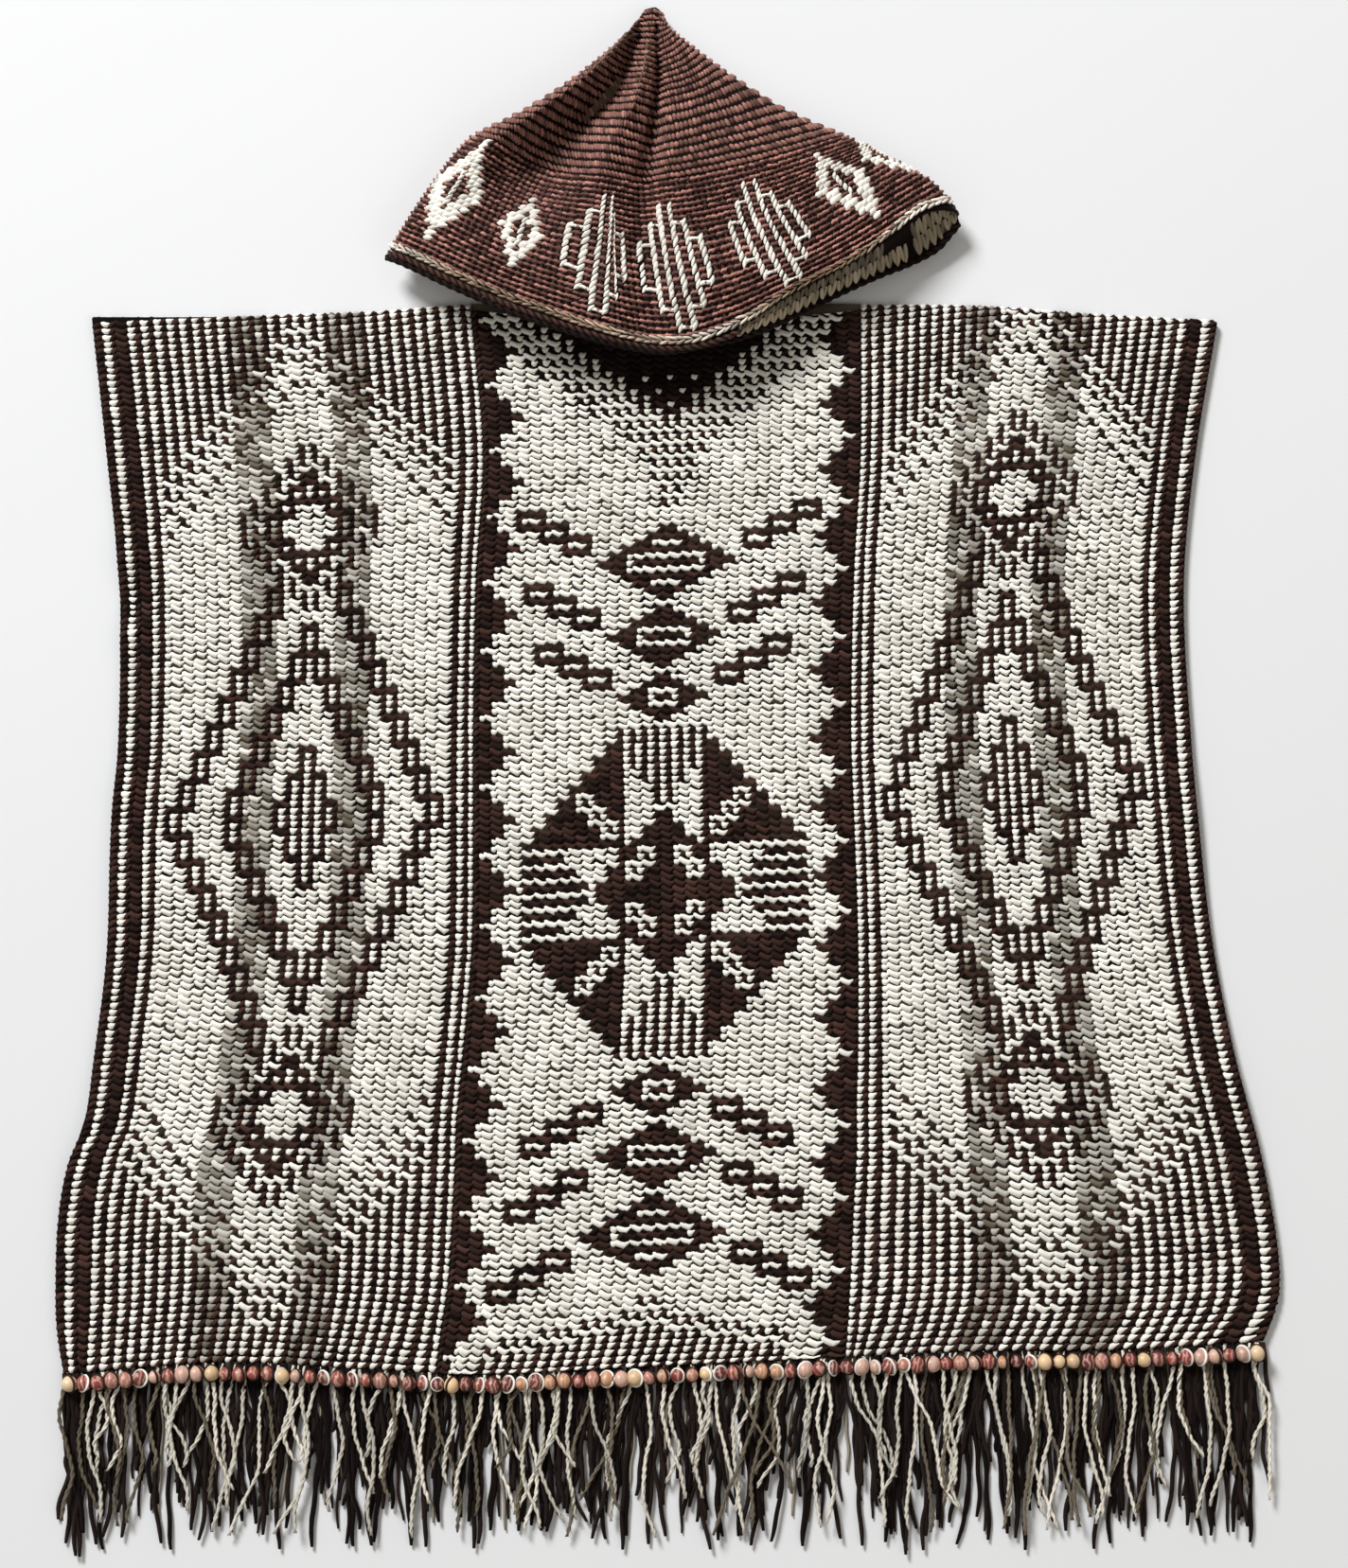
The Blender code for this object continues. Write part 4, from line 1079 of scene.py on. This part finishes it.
knots, links, bars = band_chart()
rows, columns = np.indices(knots.shape)
at = (columns + 0.5) / BAND_COLUMNS
chain_share = column_of(CHAIN_PLACES, "share", at.ravel()).reshape(at.shape)
inside_chain = band_share(rows) < chain_share + CHAIN_OVERLAP
plain = inside_chain & ~(knots | links)
parts = []
for chosen, shape, tone, spread in (
    (plain, upright(stitch_shape(NET_POST)), np.array(BAND_BROWN) * POST_SHADE, 0.50),
    (plain, stitch_shape(NET_CHAIN), BAND_BROWN, 0.62),
    (knots & inside_chain, stitch_shape(KNOT), BAND_CREAM, 0.10),
    (links & inside_chain, upright(stitch_shape(RAISED_LINK)), BAND_CREAM, 0.08),
    (bars & inside_chain, stitch_shape(RAISED_BAR), BAND_CREAM, 0.08),
):
    parts.append(toned_stitches(band_place, columns[chosen], rows[chosen], shape, tone, spread, jitter=0.08))
pale = column_of(CHAIN_TONES, "pale", (np.arange(CHAIN_STITCHES) + 0.5) / CHAIN_STITCHES)
for shape in (stitch_shape(CHAIN_LINK), slanted(stitch_shape(CHAIN_LINK))):
    points, quads = work_stitches(chain_place, np.arange(CHAIN_STITCHES), np.zeros(CHAIN_STITCHES), shape)
    colour = np.array(BAND_CREAM) * pale[:, None] ** CHAIN_FADE
    colour = colour * (1 + chance.normal(0, 0.3, (CHAIN_STITCHES, 1)))
    parts.append((points, quads, np.repeat(colour, len(shape[0]), axis=0)))
columns, rows = grid_points(np.arange(UNDER_COLUMNS), np.arange(BAND_ROWS))
columns = columns + 0.5 * (rows % 2)
parts.append(toned_stitches(band_under_place, columns, rows, PLAIN.cream, BAND_BROWN, 0.3, inward=True))

# Past the chain on the right the rim curls over and shows its paler wrong side, in rows of V's. The table
# gives the curl's outer edge, how deep its middle sinks and how far under the top it starts.
Curl = namedtuple("Curl", "at x y z sag start")
CURLS = (
    Curl(0.500, 0.0095, 0.3085, 0.0410, 0.0000, 0.0015), Curl(0.600, 0.0520, 0.3180, 0.0370, 0.0005, 0.0015),
    Curl(0.660, 0.0770, 0.3280, 0.0330, 0.0010, 0.0020), Curl(0.750, 0.1130, 0.3460, 0.0260, 0.0020, 0.0030),
    Curl(0.820, 0.1420, 0.3605, 0.0190, 0.0040, 0.0050), Curl(0.880, 0.1660, 0.3710, 0.0130, 0.0085, 0.0080),
    Curl(0.940, 0.1890, 0.3815, 0.0110, 0.0070, 0.0060), Curl(1.000, 0.2080, 0.4020, 0.0160, 0.0000, 0.0020),
)
CURL_START = 0.010  # how far past the chain the curl starts, as a share of the hood
CURL_BEIGE = (0.42, 0.35, 0.25)
# Painted shade: the curl's web is near black for the deep shade in the curl's opening and between its V's
CURL_WEB_SHADE = (0.010, 0.005, 0.004)
CURL_WEB_GRID = (40, 8)
CURL_WEB_DEPTHS = (0.0012, 0.0026)
VEES = 34
VEE_SIDE = (
    Ring(-0.50, 0.34, 0.16, 0.2), Ring(-0.18, 0.28, 0.28, 1.0), Ring(0.22, 0.16, 0.26, 1.1),
    Ring(0.52, 0.03, 0.10, 0.5),
)


def curl_point(at, out, height):
    """Points of the curled rim, out from the top's cloth at 0 to the curl's outer edge at 1."""
    across = evenly_across(RIM_RING, at)
    share = np.clip(column_of(CHAIN_PLACES, "share", at) + CURL_START, 0, 1)
    top = hood_point(share, across, np.zeros(len(at)))
    top[:, 2] -= column_of(CURLS, "start", at)
    edge = np.column_stack([column_of(CURLS, name, at) for name in ("x", "y", "z")])
    points = top + (edge - top) * out[:, None]
    points[:, 2] += height - column_of(CURLS, "sag", at) * np.sin(math.pi * np.clip(out, 0, 1) ** 0.8)
    return points


def vee_place(out_low, out_high):
    """Where the V's of one row lie. A stitch's length runs outwards here, and its rows are the V's."""

    def place(along, vee, height):
        at = 0.5 + 0.5 * np.clip((vee + 0.5) / VEES, 0, 1)
        return curl_point(at, out_low + (along + 0.5) * (out_high - out_low), height)

    return place


side = stitch_shape(VEE_SIDE)
VeeRow = namedtuple("VeeRow", "inner outer first last shade")
VEE_ROWS = (
    VeeRow(0.44, 0.95, 0, 27, 1.0), VeeRow(0.46, 0.88, 28, 34, 0.9), VeeRow(0.06, 0.50, 6, 24, 0.45),
    VeeRow(0.12, 0.50, 28, 34, 0.7),
)
for row in VEE_ROWS:
    place, colour = vee_place(row.inner, row.outer), np.array(CURL_BEIGE) * row.shade
    vees = np.arange(row.first, row.last)
    for shape in (side, slanted(side)):
        parts.append(toned_stitches(place, np.zeros(len(vees)), vees, shape, colour, 0.2, 0.06, inward=True))
band_stitches = mesh_piece("hood_band_stitches", *joined(parts), hood_yarn)
band_web = hood_web(
    "hood_band_web", np.linspace(CROWN_SHARE + SEAM_SHARE, 1.0, 22), capped=False,
    rim_share=lambda even: column_of(CHAIN_PLACES, "rim", even),
)
out, at = grid_points(np.linspace(0, 1, CURL_WEB_GRID[1]), np.linspace(0.5, 1, CURL_WEB_GRID[0]))
faces = [curl_point(at, out, np.full(len(at), -depth)) for depth in CURL_WEB_DEPTHS]
curl_web = web_piece("hood_curl_web", *faces, CURL_WEB_GRID, CURL_WEB_SHADE, hood_yarn, turned=True)
for piece in (band_stitches, band_web, curl_web):
    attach(piece, "root")
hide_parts("hood_band")

# Hood edging
# A round rope of dark brown yarn worked along the rim, and on the left a lighter one between it and the rim.
EDGING_RADIUS = 0.0025
INNER_RADIUS = 0.0022
EDGING_COLOUR = (0.009, 0.0045, 0.0035)
INNER_COLOUR = (0.046, 0.022, 0.017)
TOP_STEPS = (0.0, 0.02, 0.06, 0.13, 0.23, 0.33, 0.40, 0.47)
CURL_STEPS = (0.54, 0.60, 0.66, 0.72, 0.78, 0.84, 0.90, 0.95, 0.98, 1.0)
ROPE_SIDES = 12
ROPE_STEP = 0.0012
EDGING_PITCH, INNER_PITCH = 0.0140, 0.0120
ROPE_WAIST = 0.60  # how thin a rope is between its two strands, as a share of its radius
ROPE_END = 0.3
ROPE_CLEAR = 0.0003  # what a rope stays above the surface by
# Painted shade and highlight: a rope's colour is darkened in the groove between its strands and lightened on
# their tops
GROOVE_PAINTED_SHADE, STRAND_PAINTED_HIGHLIGHT = 0.15, 1.7  # of a rope's colour between its strands, and what they add
EDGING_OUT, EDGING_DROP = 0.4, 0.0012  # of the rope from the curl's edge, in radii and in metres
Offset = namedtuple("Offset", "at inner outer drop")  # how far past the rim each rope lies
OFFSETS = (
    Offset(0.00, 0.0026, 0.0062, 0.0020), Offset(0.30, 0.0026, 0.0062, 0.0020),
    Offset(0.47, 0.0022, 0.0045, 0.0010),
)


def rim_route(steps, offset, drop):
    """Points along the middle of a rope that runs past the rim's left half, with their outward directions."""
    places, outward = [], []
    for across in steps:
        rim, inside = hood_point(np.array([1.0, 0.98]), np.full(2, across), np.full(2, -HOOD_WALL / 2))
        away = (rim - inside) / np.linalg.norm(rim - inside)
        at = np.array([across])
        rim = rim + away * column_of(OFFSETS, offset, at)[0]
        rim[2] -= drop * column_of(OFFSETS, "drop", at)[0]
        places.append(rim)
        outward.append(away)
    return places, outward


def curl_route():
    """Points along the curl's outer edge, with their outward directions."""
    at = np.array(CURL_STEPS)
    edge, inside = (curl_point(at, np.full(len(at), out), np.zeros(len(at))) for out in (1.0, 0.9))
    away = (edge - inside) / np.linalg.norm(edge - inside, axis=1, keepdims=True)
    return list(edge + EDGING_OUT * EDGING_RADIUS * away - np.array([0, 0, EDGING_DROP])), list(away)


def rope(name, places, outward, radius, pitch, colour):
    """A rope of two twisted strands along a route, closed at its ends: rings that bulge at each strand."""
    places, outward = np.array(places), np.array(outward)
    places[:, 2] = np.maximum(places[:, 2], radius + ROPE_CLEAR)
    lengths = np.concatenate([[0], np.cumsum(np.linalg.norm(np.diff(places, axis=0), axis=1))])
    at = np.linspace(0, lengths[-1], int(lengths[-1] / ROPE_STEP))
    weights = weights_between(lengths, at)
    middle, away = weights @ places, weights @ outward
    ahead = np.gradient(middle, axis=0)
    ahead /= np.linalg.norm(ahead, axis=1, keepdims=True)
    away -= (away * ahead).sum(axis=1, keepdims=True) * ahead
    away /= np.linalg.norm(away, axis=1, keepdims=True)
    side = np.cross(ahead, away)
    angle = math.tau * np.arange(ROPE_SIDES) / ROPE_SIDES
    strand = np.abs(np.cos(angle[None, :] - math.tau * at[:, None] / pitch))
    bulge = ROPE_WAIST + (1 - ROPE_WAIST) * strand
    reach = radius * bulge * np.where((np.arange(len(at)) % (len(at) - 1) == 0), ROPE_END, 1.0)[:, None]
    turn = np.cos(angle)[None, :, None] * away[:, None] + np.sin(angle)[None, :, None] * side[:, None]
    points = (middle[:, None] + reach[:, :, None] * turn).reshape(-1, 3)
    # Painted shade in the grooves and painted highlight on the strands
    shade = GROOVE_PAINTED_SHADE + STRAND_PAINTED_HIGHLIGHT * strand.reshape(-1, 1) ** 2
    last = (len(at) - 1) * ROPE_SIDES
    caps = [(0, k + 1, k) for k in range(1, ROPE_SIDES - 1)]
    caps += [(last, last + k, last + k + 1) for k in range(1, ROPE_SIDES - 1)]
    quads = grid_quads(len(at), ROPE_SIDES, wrap=True)
    return mesh_piece(name, points, quads, np.array(colour) * shade, hood_yarn, caps)


rim_places, rim_outward = rim_route(TOP_STEPS, "outer", 1.0)
curl_places, curl_outward = curl_route()
places, outward = rim_places + curl_places, rim_outward + curl_outward
edging = rope("hood_edging_rope", places, outward, EDGING_RADIUS, EDGING_PITCH, EDGING_COLOUR)
places, outward = rim_route(TOP_STEPS + CURL_STEPS[:2], "inner", 0.0)
inner_edging = rope("hood_inner_edging", places, outward, INNER_RADIUS, INNER_PITCH, INNER_COLOUR)
for piece in (edging, inner_edging):
    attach(piece, "root")
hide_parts("hood_edging")

# Beads
# Hand-rolled clay beads along the front hem, each held by a loop of yarn. The beads are terracotta, dark
# red, pink or cream, and some have a swirl of a second clay.
BEADS = 85
BEAD_RADIUS = (0.0045, 0.0060)
BEAD_Z = 0.0096
BEAD_SCATTER = 0.0012
BEAD_LUMPS = 0.05
SEAM = 0.0003
CLAYS = (
    (0.24, 0.036, 0.028), (0.12, 0.012, 0.012), (0.40, 0.16, 0.115), (0.66, 0.45, 0.24), (0.48, 0.23, 0.12),
    (0.28, 0.055, 0.040), (0.17, 0.030, 0.024), (0.54, 0.32, 0.25),
)
END_CLAY = (0.74, 0.55, 0.33)
SWIRL_CLAY = (0.66, 0.52, 0.40)
bead_chance = random.Random(5)
hem_low, hem_high = BODY_EDGES[-1].left, BODY_EDGES[-1].right
bead_pitch = (hem_high - hem_low) / BEADS
bead_sizes = np.array([bead_chance.uniform(*BEAD_RADIUS) for _ in range(BEADS)])
bead_sizes[0] = bead_sizes[-1] = BEAD_RADIUS[1]
bead_drops = np.array([bead_chance.uniform(0, BEAD_SCATTER) for _ in range(BEADS)])
bead_x = hem_low + (np.arange(BEADS) + 0.5) * bead_pitch
bead_y = column_of(BODY_ENDS, "hem", bead_x) - SEAM - BEAD_RADIUS[1] - bead_drops
bead_middles = np.column_stack([bead_x, bead_y, np.full(BEADS, BEAD_Z)])


def clay_material():
    """Matt clay in each bead's own colour, with a pale swirl."""
    made = bpy.data.materials.new("polymer clay")
    made.use_nodes = True
    nodes, links = made.node_tree.nodes, made.node_tree.links
    shader = nodes["Principled BSDF"]
    shader.inputs["Roughness"].default_value = 0.42
    shader.inputs["Coat Weight"].default_value = 0.12
    shader.inputs["Coat Roughness"].default_value = 0.35
    colour = nodes.new("ShaderNodeVertexColor")
    colour.layer_name = "yarn"
    coords = nodes.new("ShaderNodeTexCoord")
    swirl = node_with(nodes, "ShaderNodeTexWave", Scale=80, Distortion=9, Detail=2, Detail_Scale=1.4)
    band = nodes.new("ShaderNodeValToRGB")
    band.color_ramp.elements[0].position = 0.55
    band.color_ramp.elements[1].position = 0.82
    share = nodes.new("ShaderNodeMath")
    share.operation = "MULTIPLY"
    share.inputs[1].default_value = 0.45
    mixed = nodes.new("ShaderNodeMix")
    mixed.data_type = "RGBA"
    mixed.inputs["B"].default_value = (*SWIRL_CLAY, 1)
    for source, target in (
        (coords.outputs["Object"], swirl.inputs["Vector"]),
        (swirl.outputs["Fac"], band.inputs["Fac"]),
        (band.outputs["Color"], share.inputs[0]),
        (share.outputs["Value"], mixed.inputs["Factor"]),
        (colour.outputs["Color"], mixed.inputs["A"]),
        (mixed.outputs["Result"], shader.inputs["Base Color"]),
    ):
        links.new(source, target)
    return made


ball = bmesh.new()
bmesh.ops.create_icosphere(ball, subdivisions=3, radius=1.0)
ball_points = np.array([vertex.co[:] for vertex in ball.verts])
ball_faces = np.array([[vertex.index for vertex in face.verts] for face in ball.faces])
ball.free()
lumps = np.sin(3 * ball_points[:, 0] + 2 * ball_points[:, 1]) * np.cos(4 * ball_points[:, 2])
lumpy = ball_points * (1 + BEAD_LUMPS * lumps[:, None])
stretch = 1 + chance.normal(0, 0.04, (BEADS, 1, 3)) * np.array([1, 1, 0.5])
points = bead_middles[:, None] + bead_sizes[:, None, None] * stretch * lumpy
faces = (ball_faces[None] + len(ball_points) * np.arange(BEADS)[:, None, None]).reshape(-1, 3)
clays = np.array(CLAYS)[chance.integers(0, len(CLAYS), BEADS)]
clays[0] = clays[-1] = END_CLAY
clays = clays * (1 + chance.normal(0, 0.10, (BEADS, 1)))
colours = np.repeat(clays, len(ball_points), axis=0)
beads = mesh_piece("hem_beads", points.reshape(-1, 3), (), colours, clay_material(), faces)
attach(beads, "root")
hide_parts("fringe_front")

# Loops: each bead is held in the bight of a yarn
LOOP_STEPS = 20
LOOP_SIDES = 6
LOOP_RADIUS = 0.0009
LOOP_REACH = 1.02  # radius of a loop's middle line, as a share of its bead's
LOOP_LEAN = (0.55, 1.15)
RIGHT_LEANING = 0.75  # share of the loops that lean to the right
PALE_LOOPS = 0.35  # share of them in cream
loop_turn = chance.uniform(-0.4, 0.4, BEADS)
angle = math.tau * np.arange(LOOP_STEPS) / LOOP_STEPS
tube = math.tau * np.arange(LOOP_SIDES) / LOOP_SIDES
ring_radius = bead_sizes * LOOP_REACH
loop_lean = chance.uniform(*LOOP_LEAN, BEADS) * np.where(chance.random(BEADS) < RIGHT_LEANING, 1, -1)
flat = np.stack([np.sin(loop_turn), np.cos(loop_turn), np.zeros(BEADS)], axis=1)
beside = np.stack([np.cos(loop_turn), -np.sin(loop_turn), np.zeros(BEADS)], axis=1)
rise = beside * np.sin(loop_lean)[:, None] + np.array([0.0, 0.0, 1.0]) * np.cos(loop_lean)[:, None]
radial = flat[:, None] * np.cos(angle)[None, :, None] + rise[:, None] * np.sin(angle)[None, :, None]
axis = np.cross(flat, rise)
points = bead_middles[:, None, None] + ring_radius[:, None, None, None] * radial[:, :, None]
across_tube = radial[:, :, None] * np.cos(tube)[None, None, :, None]
along_axis = axis[:, None, None] * np.sin(tube)[None, None, :, None]
points = points + LOOP_RADIUS * (across_tube + along_axis)
points[..., 2] = np.maximum(points[..., 2], 0.0006)
per_loop = LOOP_STEPS * LOOP_SIDES
loop_quads = grid_quads(LOOP_STEPS + 1, LOOP_SIDES, wrap=True) % per_loop
quads = (loop_quads[None] + per_loop * np.arange(BEADS)[:, None, None]).reshape(-1, 4)
pale = chance.random((BEADS, 1)) < PALE_LOOPS
colour = np.where(pale, np.array(CREAM), np.array(BROWN)) * (1 + chance.normal(0, 0.1, (BEADS, 1)))
colours = np.repeat(colour, per_loop, axis=0)
loops = mesh_piece("bead_loops", points.reshape(-1, 3), quads[:, ::-1], colours, yarn)
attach(loops, "root")

# Tails
# Loose yarn ends out of the front beads: dark ones below, and two-ply cream and marl ones over them. Plainer
# ones are knotted along the back hem under them.
BACK_FRINGE_END = -0.5130
FRINGE_RAGGED = 0.026
BACK_TAILS = 150
BACK_TAIL_RADIUS = 0.0011
BACK_TAIL_LOW = 0.0012
BACK_TAIL_WANDER = 0.003
BACK_TAIL_PALE = (0.30, 0.26, 0.20)
BACK_TAILS_DARK = 0.75  # share of the back's tails in brown
SWAY = 0.0045
SWAY_WAVES = (0.118, 0.061)
CURVE = 0.45  # how far a tail snakes, in shares of how far it wanders
BENDS = (3.5, 9.0)  # how far its snaking goes from root to end, in radians
TREMBLE = 0.0005
SETTLED = 0.22  # share of its length after which a tail lies at its own height
TAPER_FROM = 0.93
TAPER = 0.35
PLY_TURN = 0.013
PLY_THICKNESS = 0.62  # of one ply of two, as a share of the tail's radius
TAIL_STEP = 0.0050
TAIL_MARGIN = 0.004  # tails stay this near the hem's width


def sway(x, share):
    """How far a tail has drifted sideways at a share of its length. Neighbours drift alike."""
    drift = np.sin(math.tau * x / SWAY_WAVES[0]) + 0.35 * np.sin(math.tau * x / SWAY_WAVES[1] + 1.3)
    return SWAY * drift * share**1.4


def tails(starts, ends, lows, radius, plies, wander, colours):
    """Yarn tails from start points down to end places. Each is one or two twisted plies of four sides."""
    steps = int(np.max(starts[:, 1] - ends) / TAIL_STEP)
    share = np.linspace(0, 1, steps)
    count = len(starts)
    wave = chance.uniform(0, math.tau, (3, count, 1))
    bend = chance.normal(0, 1, (count, 1)) * wander[:, None]
    x = starts[:, :1] + sway(starts[:, :1], share[None, :]) + bend * share**1.3
    bends = chance.uniform(*BENDS, (count, 1))
    x = x + CURVE * wander[:, None] * (np.sin(bends * share + wave[0]) - np.sin(wave[0])) * np.sqrt(share)
    x = x + TREMBLE * np.sin(23 * share + wave[1])
    x = np.clip(x, hem_low - TAIL_MARGIN, hem_high + TAIL_MARGIN)
    y = starts[:, 1:2] + (ends[:, None] - starts[:, 1:2]) * share
    settle = np.clip(share / SETTLED, 0, 1)
    z = starts[:, 2:3] * (1 - settle) + lows[:, None] * settle
    z = z + TREMBLE * np.sin(15 * share + wave[2]) * settle
    middle = np.stack([x, y, np.maximum(z, radius + 0.0002)], axis=-1)
    taper = 1 - TAPER * np.clip((share - TAPER_FROM) / (1 - TAPER_FROM), 0, 1)
    turn = math.tau * (starts[:, 1:2] - y) / PLY_TURN + wave[0]
    corner = math.tau * np.arange(4) / 4
    points = []
    for ply in range(plies):
        phase = turn + math.pi * ply
        off = np.stack([np.cos(phase), np.zeros_like(phase), np.sin(phase)], axis=-1)
        off = 0.5 * radius * (plies - 1) * off
        thick = radius * (PLY_THICKNESS if plies == 2 else 1.0) * taper
        ring = np.stack([np.cos(corner), np.zeros(4), np.sin(corner)], axis=-1)
        points.append((middle + off)[:, :, None] + thick[None, :, None, None] * ring)
    points = np.stack(points, axis=1)
    one = np.concatenate([grid_quads(steps, 4, wrap=True), [[3, 2, 1, 0]], [4 * (steps - 1) + np.arange(4)]])
    quads = (one[None] + 4 * steps * np.arange(count * plies)[:, None, None]).reshape(-1, 4)
    points = points.reshape(-1, 3)
    points[:, 2] = np.maximum(points[:, 2], 0.0002)
    return points, quads, np.repeat(colours, 4 * steps * plies, axis=0)


TAIL_RADIUS = 0.0017
TAIL_ROOT_Z = 0.0042
TAIL_ROOT_SCATTER = 0.0006
EXTRA_TAIL = 0.35  # share of the beads that have the most tails
DARK_TAILS = ((0.006, 0.003, 0.0025), (0.016, 0.009, 0.007))
PALE_TAILS = ((0.62, 0.58, 0.50), (0.66, 0.62, 0.54), (0.15, 0.125, 0.09))
TailKind = namedtuple("TailKind", "most plies low high shortest longest wander colours")
TAIL_KINDS = (
    TailKind(6, 1, 0.0018, 0.0046, -0.446, -0.550, 0.0070, DARK_TAILS),
    TailKind(2, 2, 0.0052, 0.0095, -0.482, -0.541, 0.0125, PALE_TAILS),
)
LongTail = namedtuple("LongTail", "x end")
LONG_TAILS = (
    LongTail(-0.4310, -0.5540), LongTail(-0.4290, -0.5500), LongTail(-0.4275, -0.5545),
    LongTail(0.1700, -0.5530),
)
Tail = namedtuple("Tail", "root end low wander colour")
parts = []
for kind in TAIL_KINDS:
    made = []
    for bead in range(BEADS):
        for _ in range(kind.most if chance.random() < EXTRA_TAIL else kind.most - 1):
            x = bead_x[bead] + chance.uniform(-0.5, 0.5) * bead_pitch
            root_z = TAIL_ROOT_Z + chance.uniform(-TAIL_ROOT_SCATTER, TAIL_ROOT_SCATTER)
            root = (x, bead_y[bead] + BEAD_RADIUS[1] + 0.001, root_z)
            end = kind.shortest + (kind.longest - kind.shortest) * chance.random()
            colour = np.array(kind.colours[chance.integers(0, len(kind.colours))])
            colour = colour * (1 + chance.normal(0, 0.12))
            made.append(Tail(root, end, chance.uniform(kind.low, kind.high), kind.wander, colour))
    if kind.plies == 1:
        for tail in LONG_TAILS:
            root = (tail.x, column_of(BODY_ENDS, "hem", np.array([tail.x]))[0] - 0.001, TAIL_ROOT_Z)
            made.append(Tail(root, tail.end, 0.0035, 0.0006, np.array(kind.colours[1])))
    columns = [np.array(values) for values in zip(*made)]
    parts.append(tails(*columns[:3], TAIL_RADIUS, kind.plies, *columns[3:]))
front_tails = mesh_piece("front_tails", *joined(parts), yarn)
back_width = hem_high - hem_low - 2 * TAIL_MARGIN
x = hem_low + TAIL_MARGIN + (np.arange(BACK_TAILS) + 0.5) / BACK_TAILS * back_width
roots = np.column_stack([x, column_of(BODY_ENDS, "hem", x) + 0.009, np.full(BACK_TAILS, 0.0013)])
ends = BACK_FRINGE_END + chance.uniform(-FRINGE_RAGGED, FRINGE_RAGGED, BACK_TAILS)
in_brown = chance.random((BACK_TAILS, 1)) < BACK_TAILS_DARK
colours = np.where(in_brown, 0.6 * np.array(BROWN), np.array(BACK_TAIL_PALE))
lows, wanders = np.full(BACK_TAILS, BACK_TAIL_LOW), np.full(BACK_TAILS, BACK_TAIL_WANDER)
back_tails = mesh_piece("back_tails", *tails(roots, ends, lows, BACK_TAIL_RADIUS, 1, wanders, colours), yarn)
for piece in (front_tails, back_tails):
    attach(piece, "root")
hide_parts("fringe_back")

# Table, light and camera
# A pale table top, a large soft light from the upper left and a camera straight above.
CAMERA_HEIGHT = 3.0
VIEW_HEIGHT = 1.1268
SENSOR_HEIGHT = 24
TABLE_REACH = 3
floor_mesh = bpy.data.meshes.new("table")
corners = [(TABLE_REACH * x, TABLE_REACH * y, 0) for x, y in ((-1, -1), (1, -1), (1, 1), (-1, 1))]
floor_mesh.from_pydata(corners, [], [(0, 1, 2, 3)])
floor = bpy.data.objects.new("table", floor_mesh)
floor.location.z = -0.0002
bpy.context.scene.collection.objects.link(floor)
paint = bpy.data.materials.new("white table")
paint.use_nodes = True
paint_shader = paint.node_tree.nodes["Principled BSDF"]
paint_shader.inputs["Base Color"].default_value = (0.765, 0.775, 0.79, 1)
paint_shader.inputs["Roughness"].default_value = 0.6
floor_mesh.materials.append(paint)


def area_light(name, place, size, power, colour):
    """A round light that faces the middle of the poncho."""
    light = bpy.data.lights.new(name, "AREA")
    light.shape = "DISK"
    light.size = size
    light.energy = power
    light.color = colour
    made = bpy.data.objects.new(name, light)
    made.location = place
    made.rotation_euler = (-Vector(place)).to_track_quat("-Z", "Y").to_euler()
    bpy.context.scene.collection.objects.link(made)


area_light("window", (-3.0, 5.2, 4.5), size=2.3, power=690, colour=(0.985, 0.99, 1.0))
area_light("fill", (1.8, -1.2, 2.4), size=2.2, power=8, colour=(1.0, 0.97, 0.92))
world = bpy.data.worlds.new("room")
bpy.context.scene.world = world
world.use_nodes = True
background = world.node_tree.nodes["Background"]
background.inputs["Color"].default_value = (1.0, 0.955, 0.88, 1)
background.inputs["Strength"].default_value = 0.33
bpy.context.scene.view_settings.view_transform = "Standard"

camera_data = bpy.data.cameras.new("camera")
camera_data.sensor_fit = "VERTICAL"
camera_data.sensor_height = SENSOR_HEIGHT
camera_data.lens = SENSOR_HEIGHT * CAMERA_HEIGHT / VIEW_HEIGHT
camera = bpy.data.objects.new("camera", camera_data)
camera.location = (0.004, 0.0, CAMERA_HEIGHT)
bpy.context.scene.collection.objects.link(camera)
bpy.context.scene.camera = camera
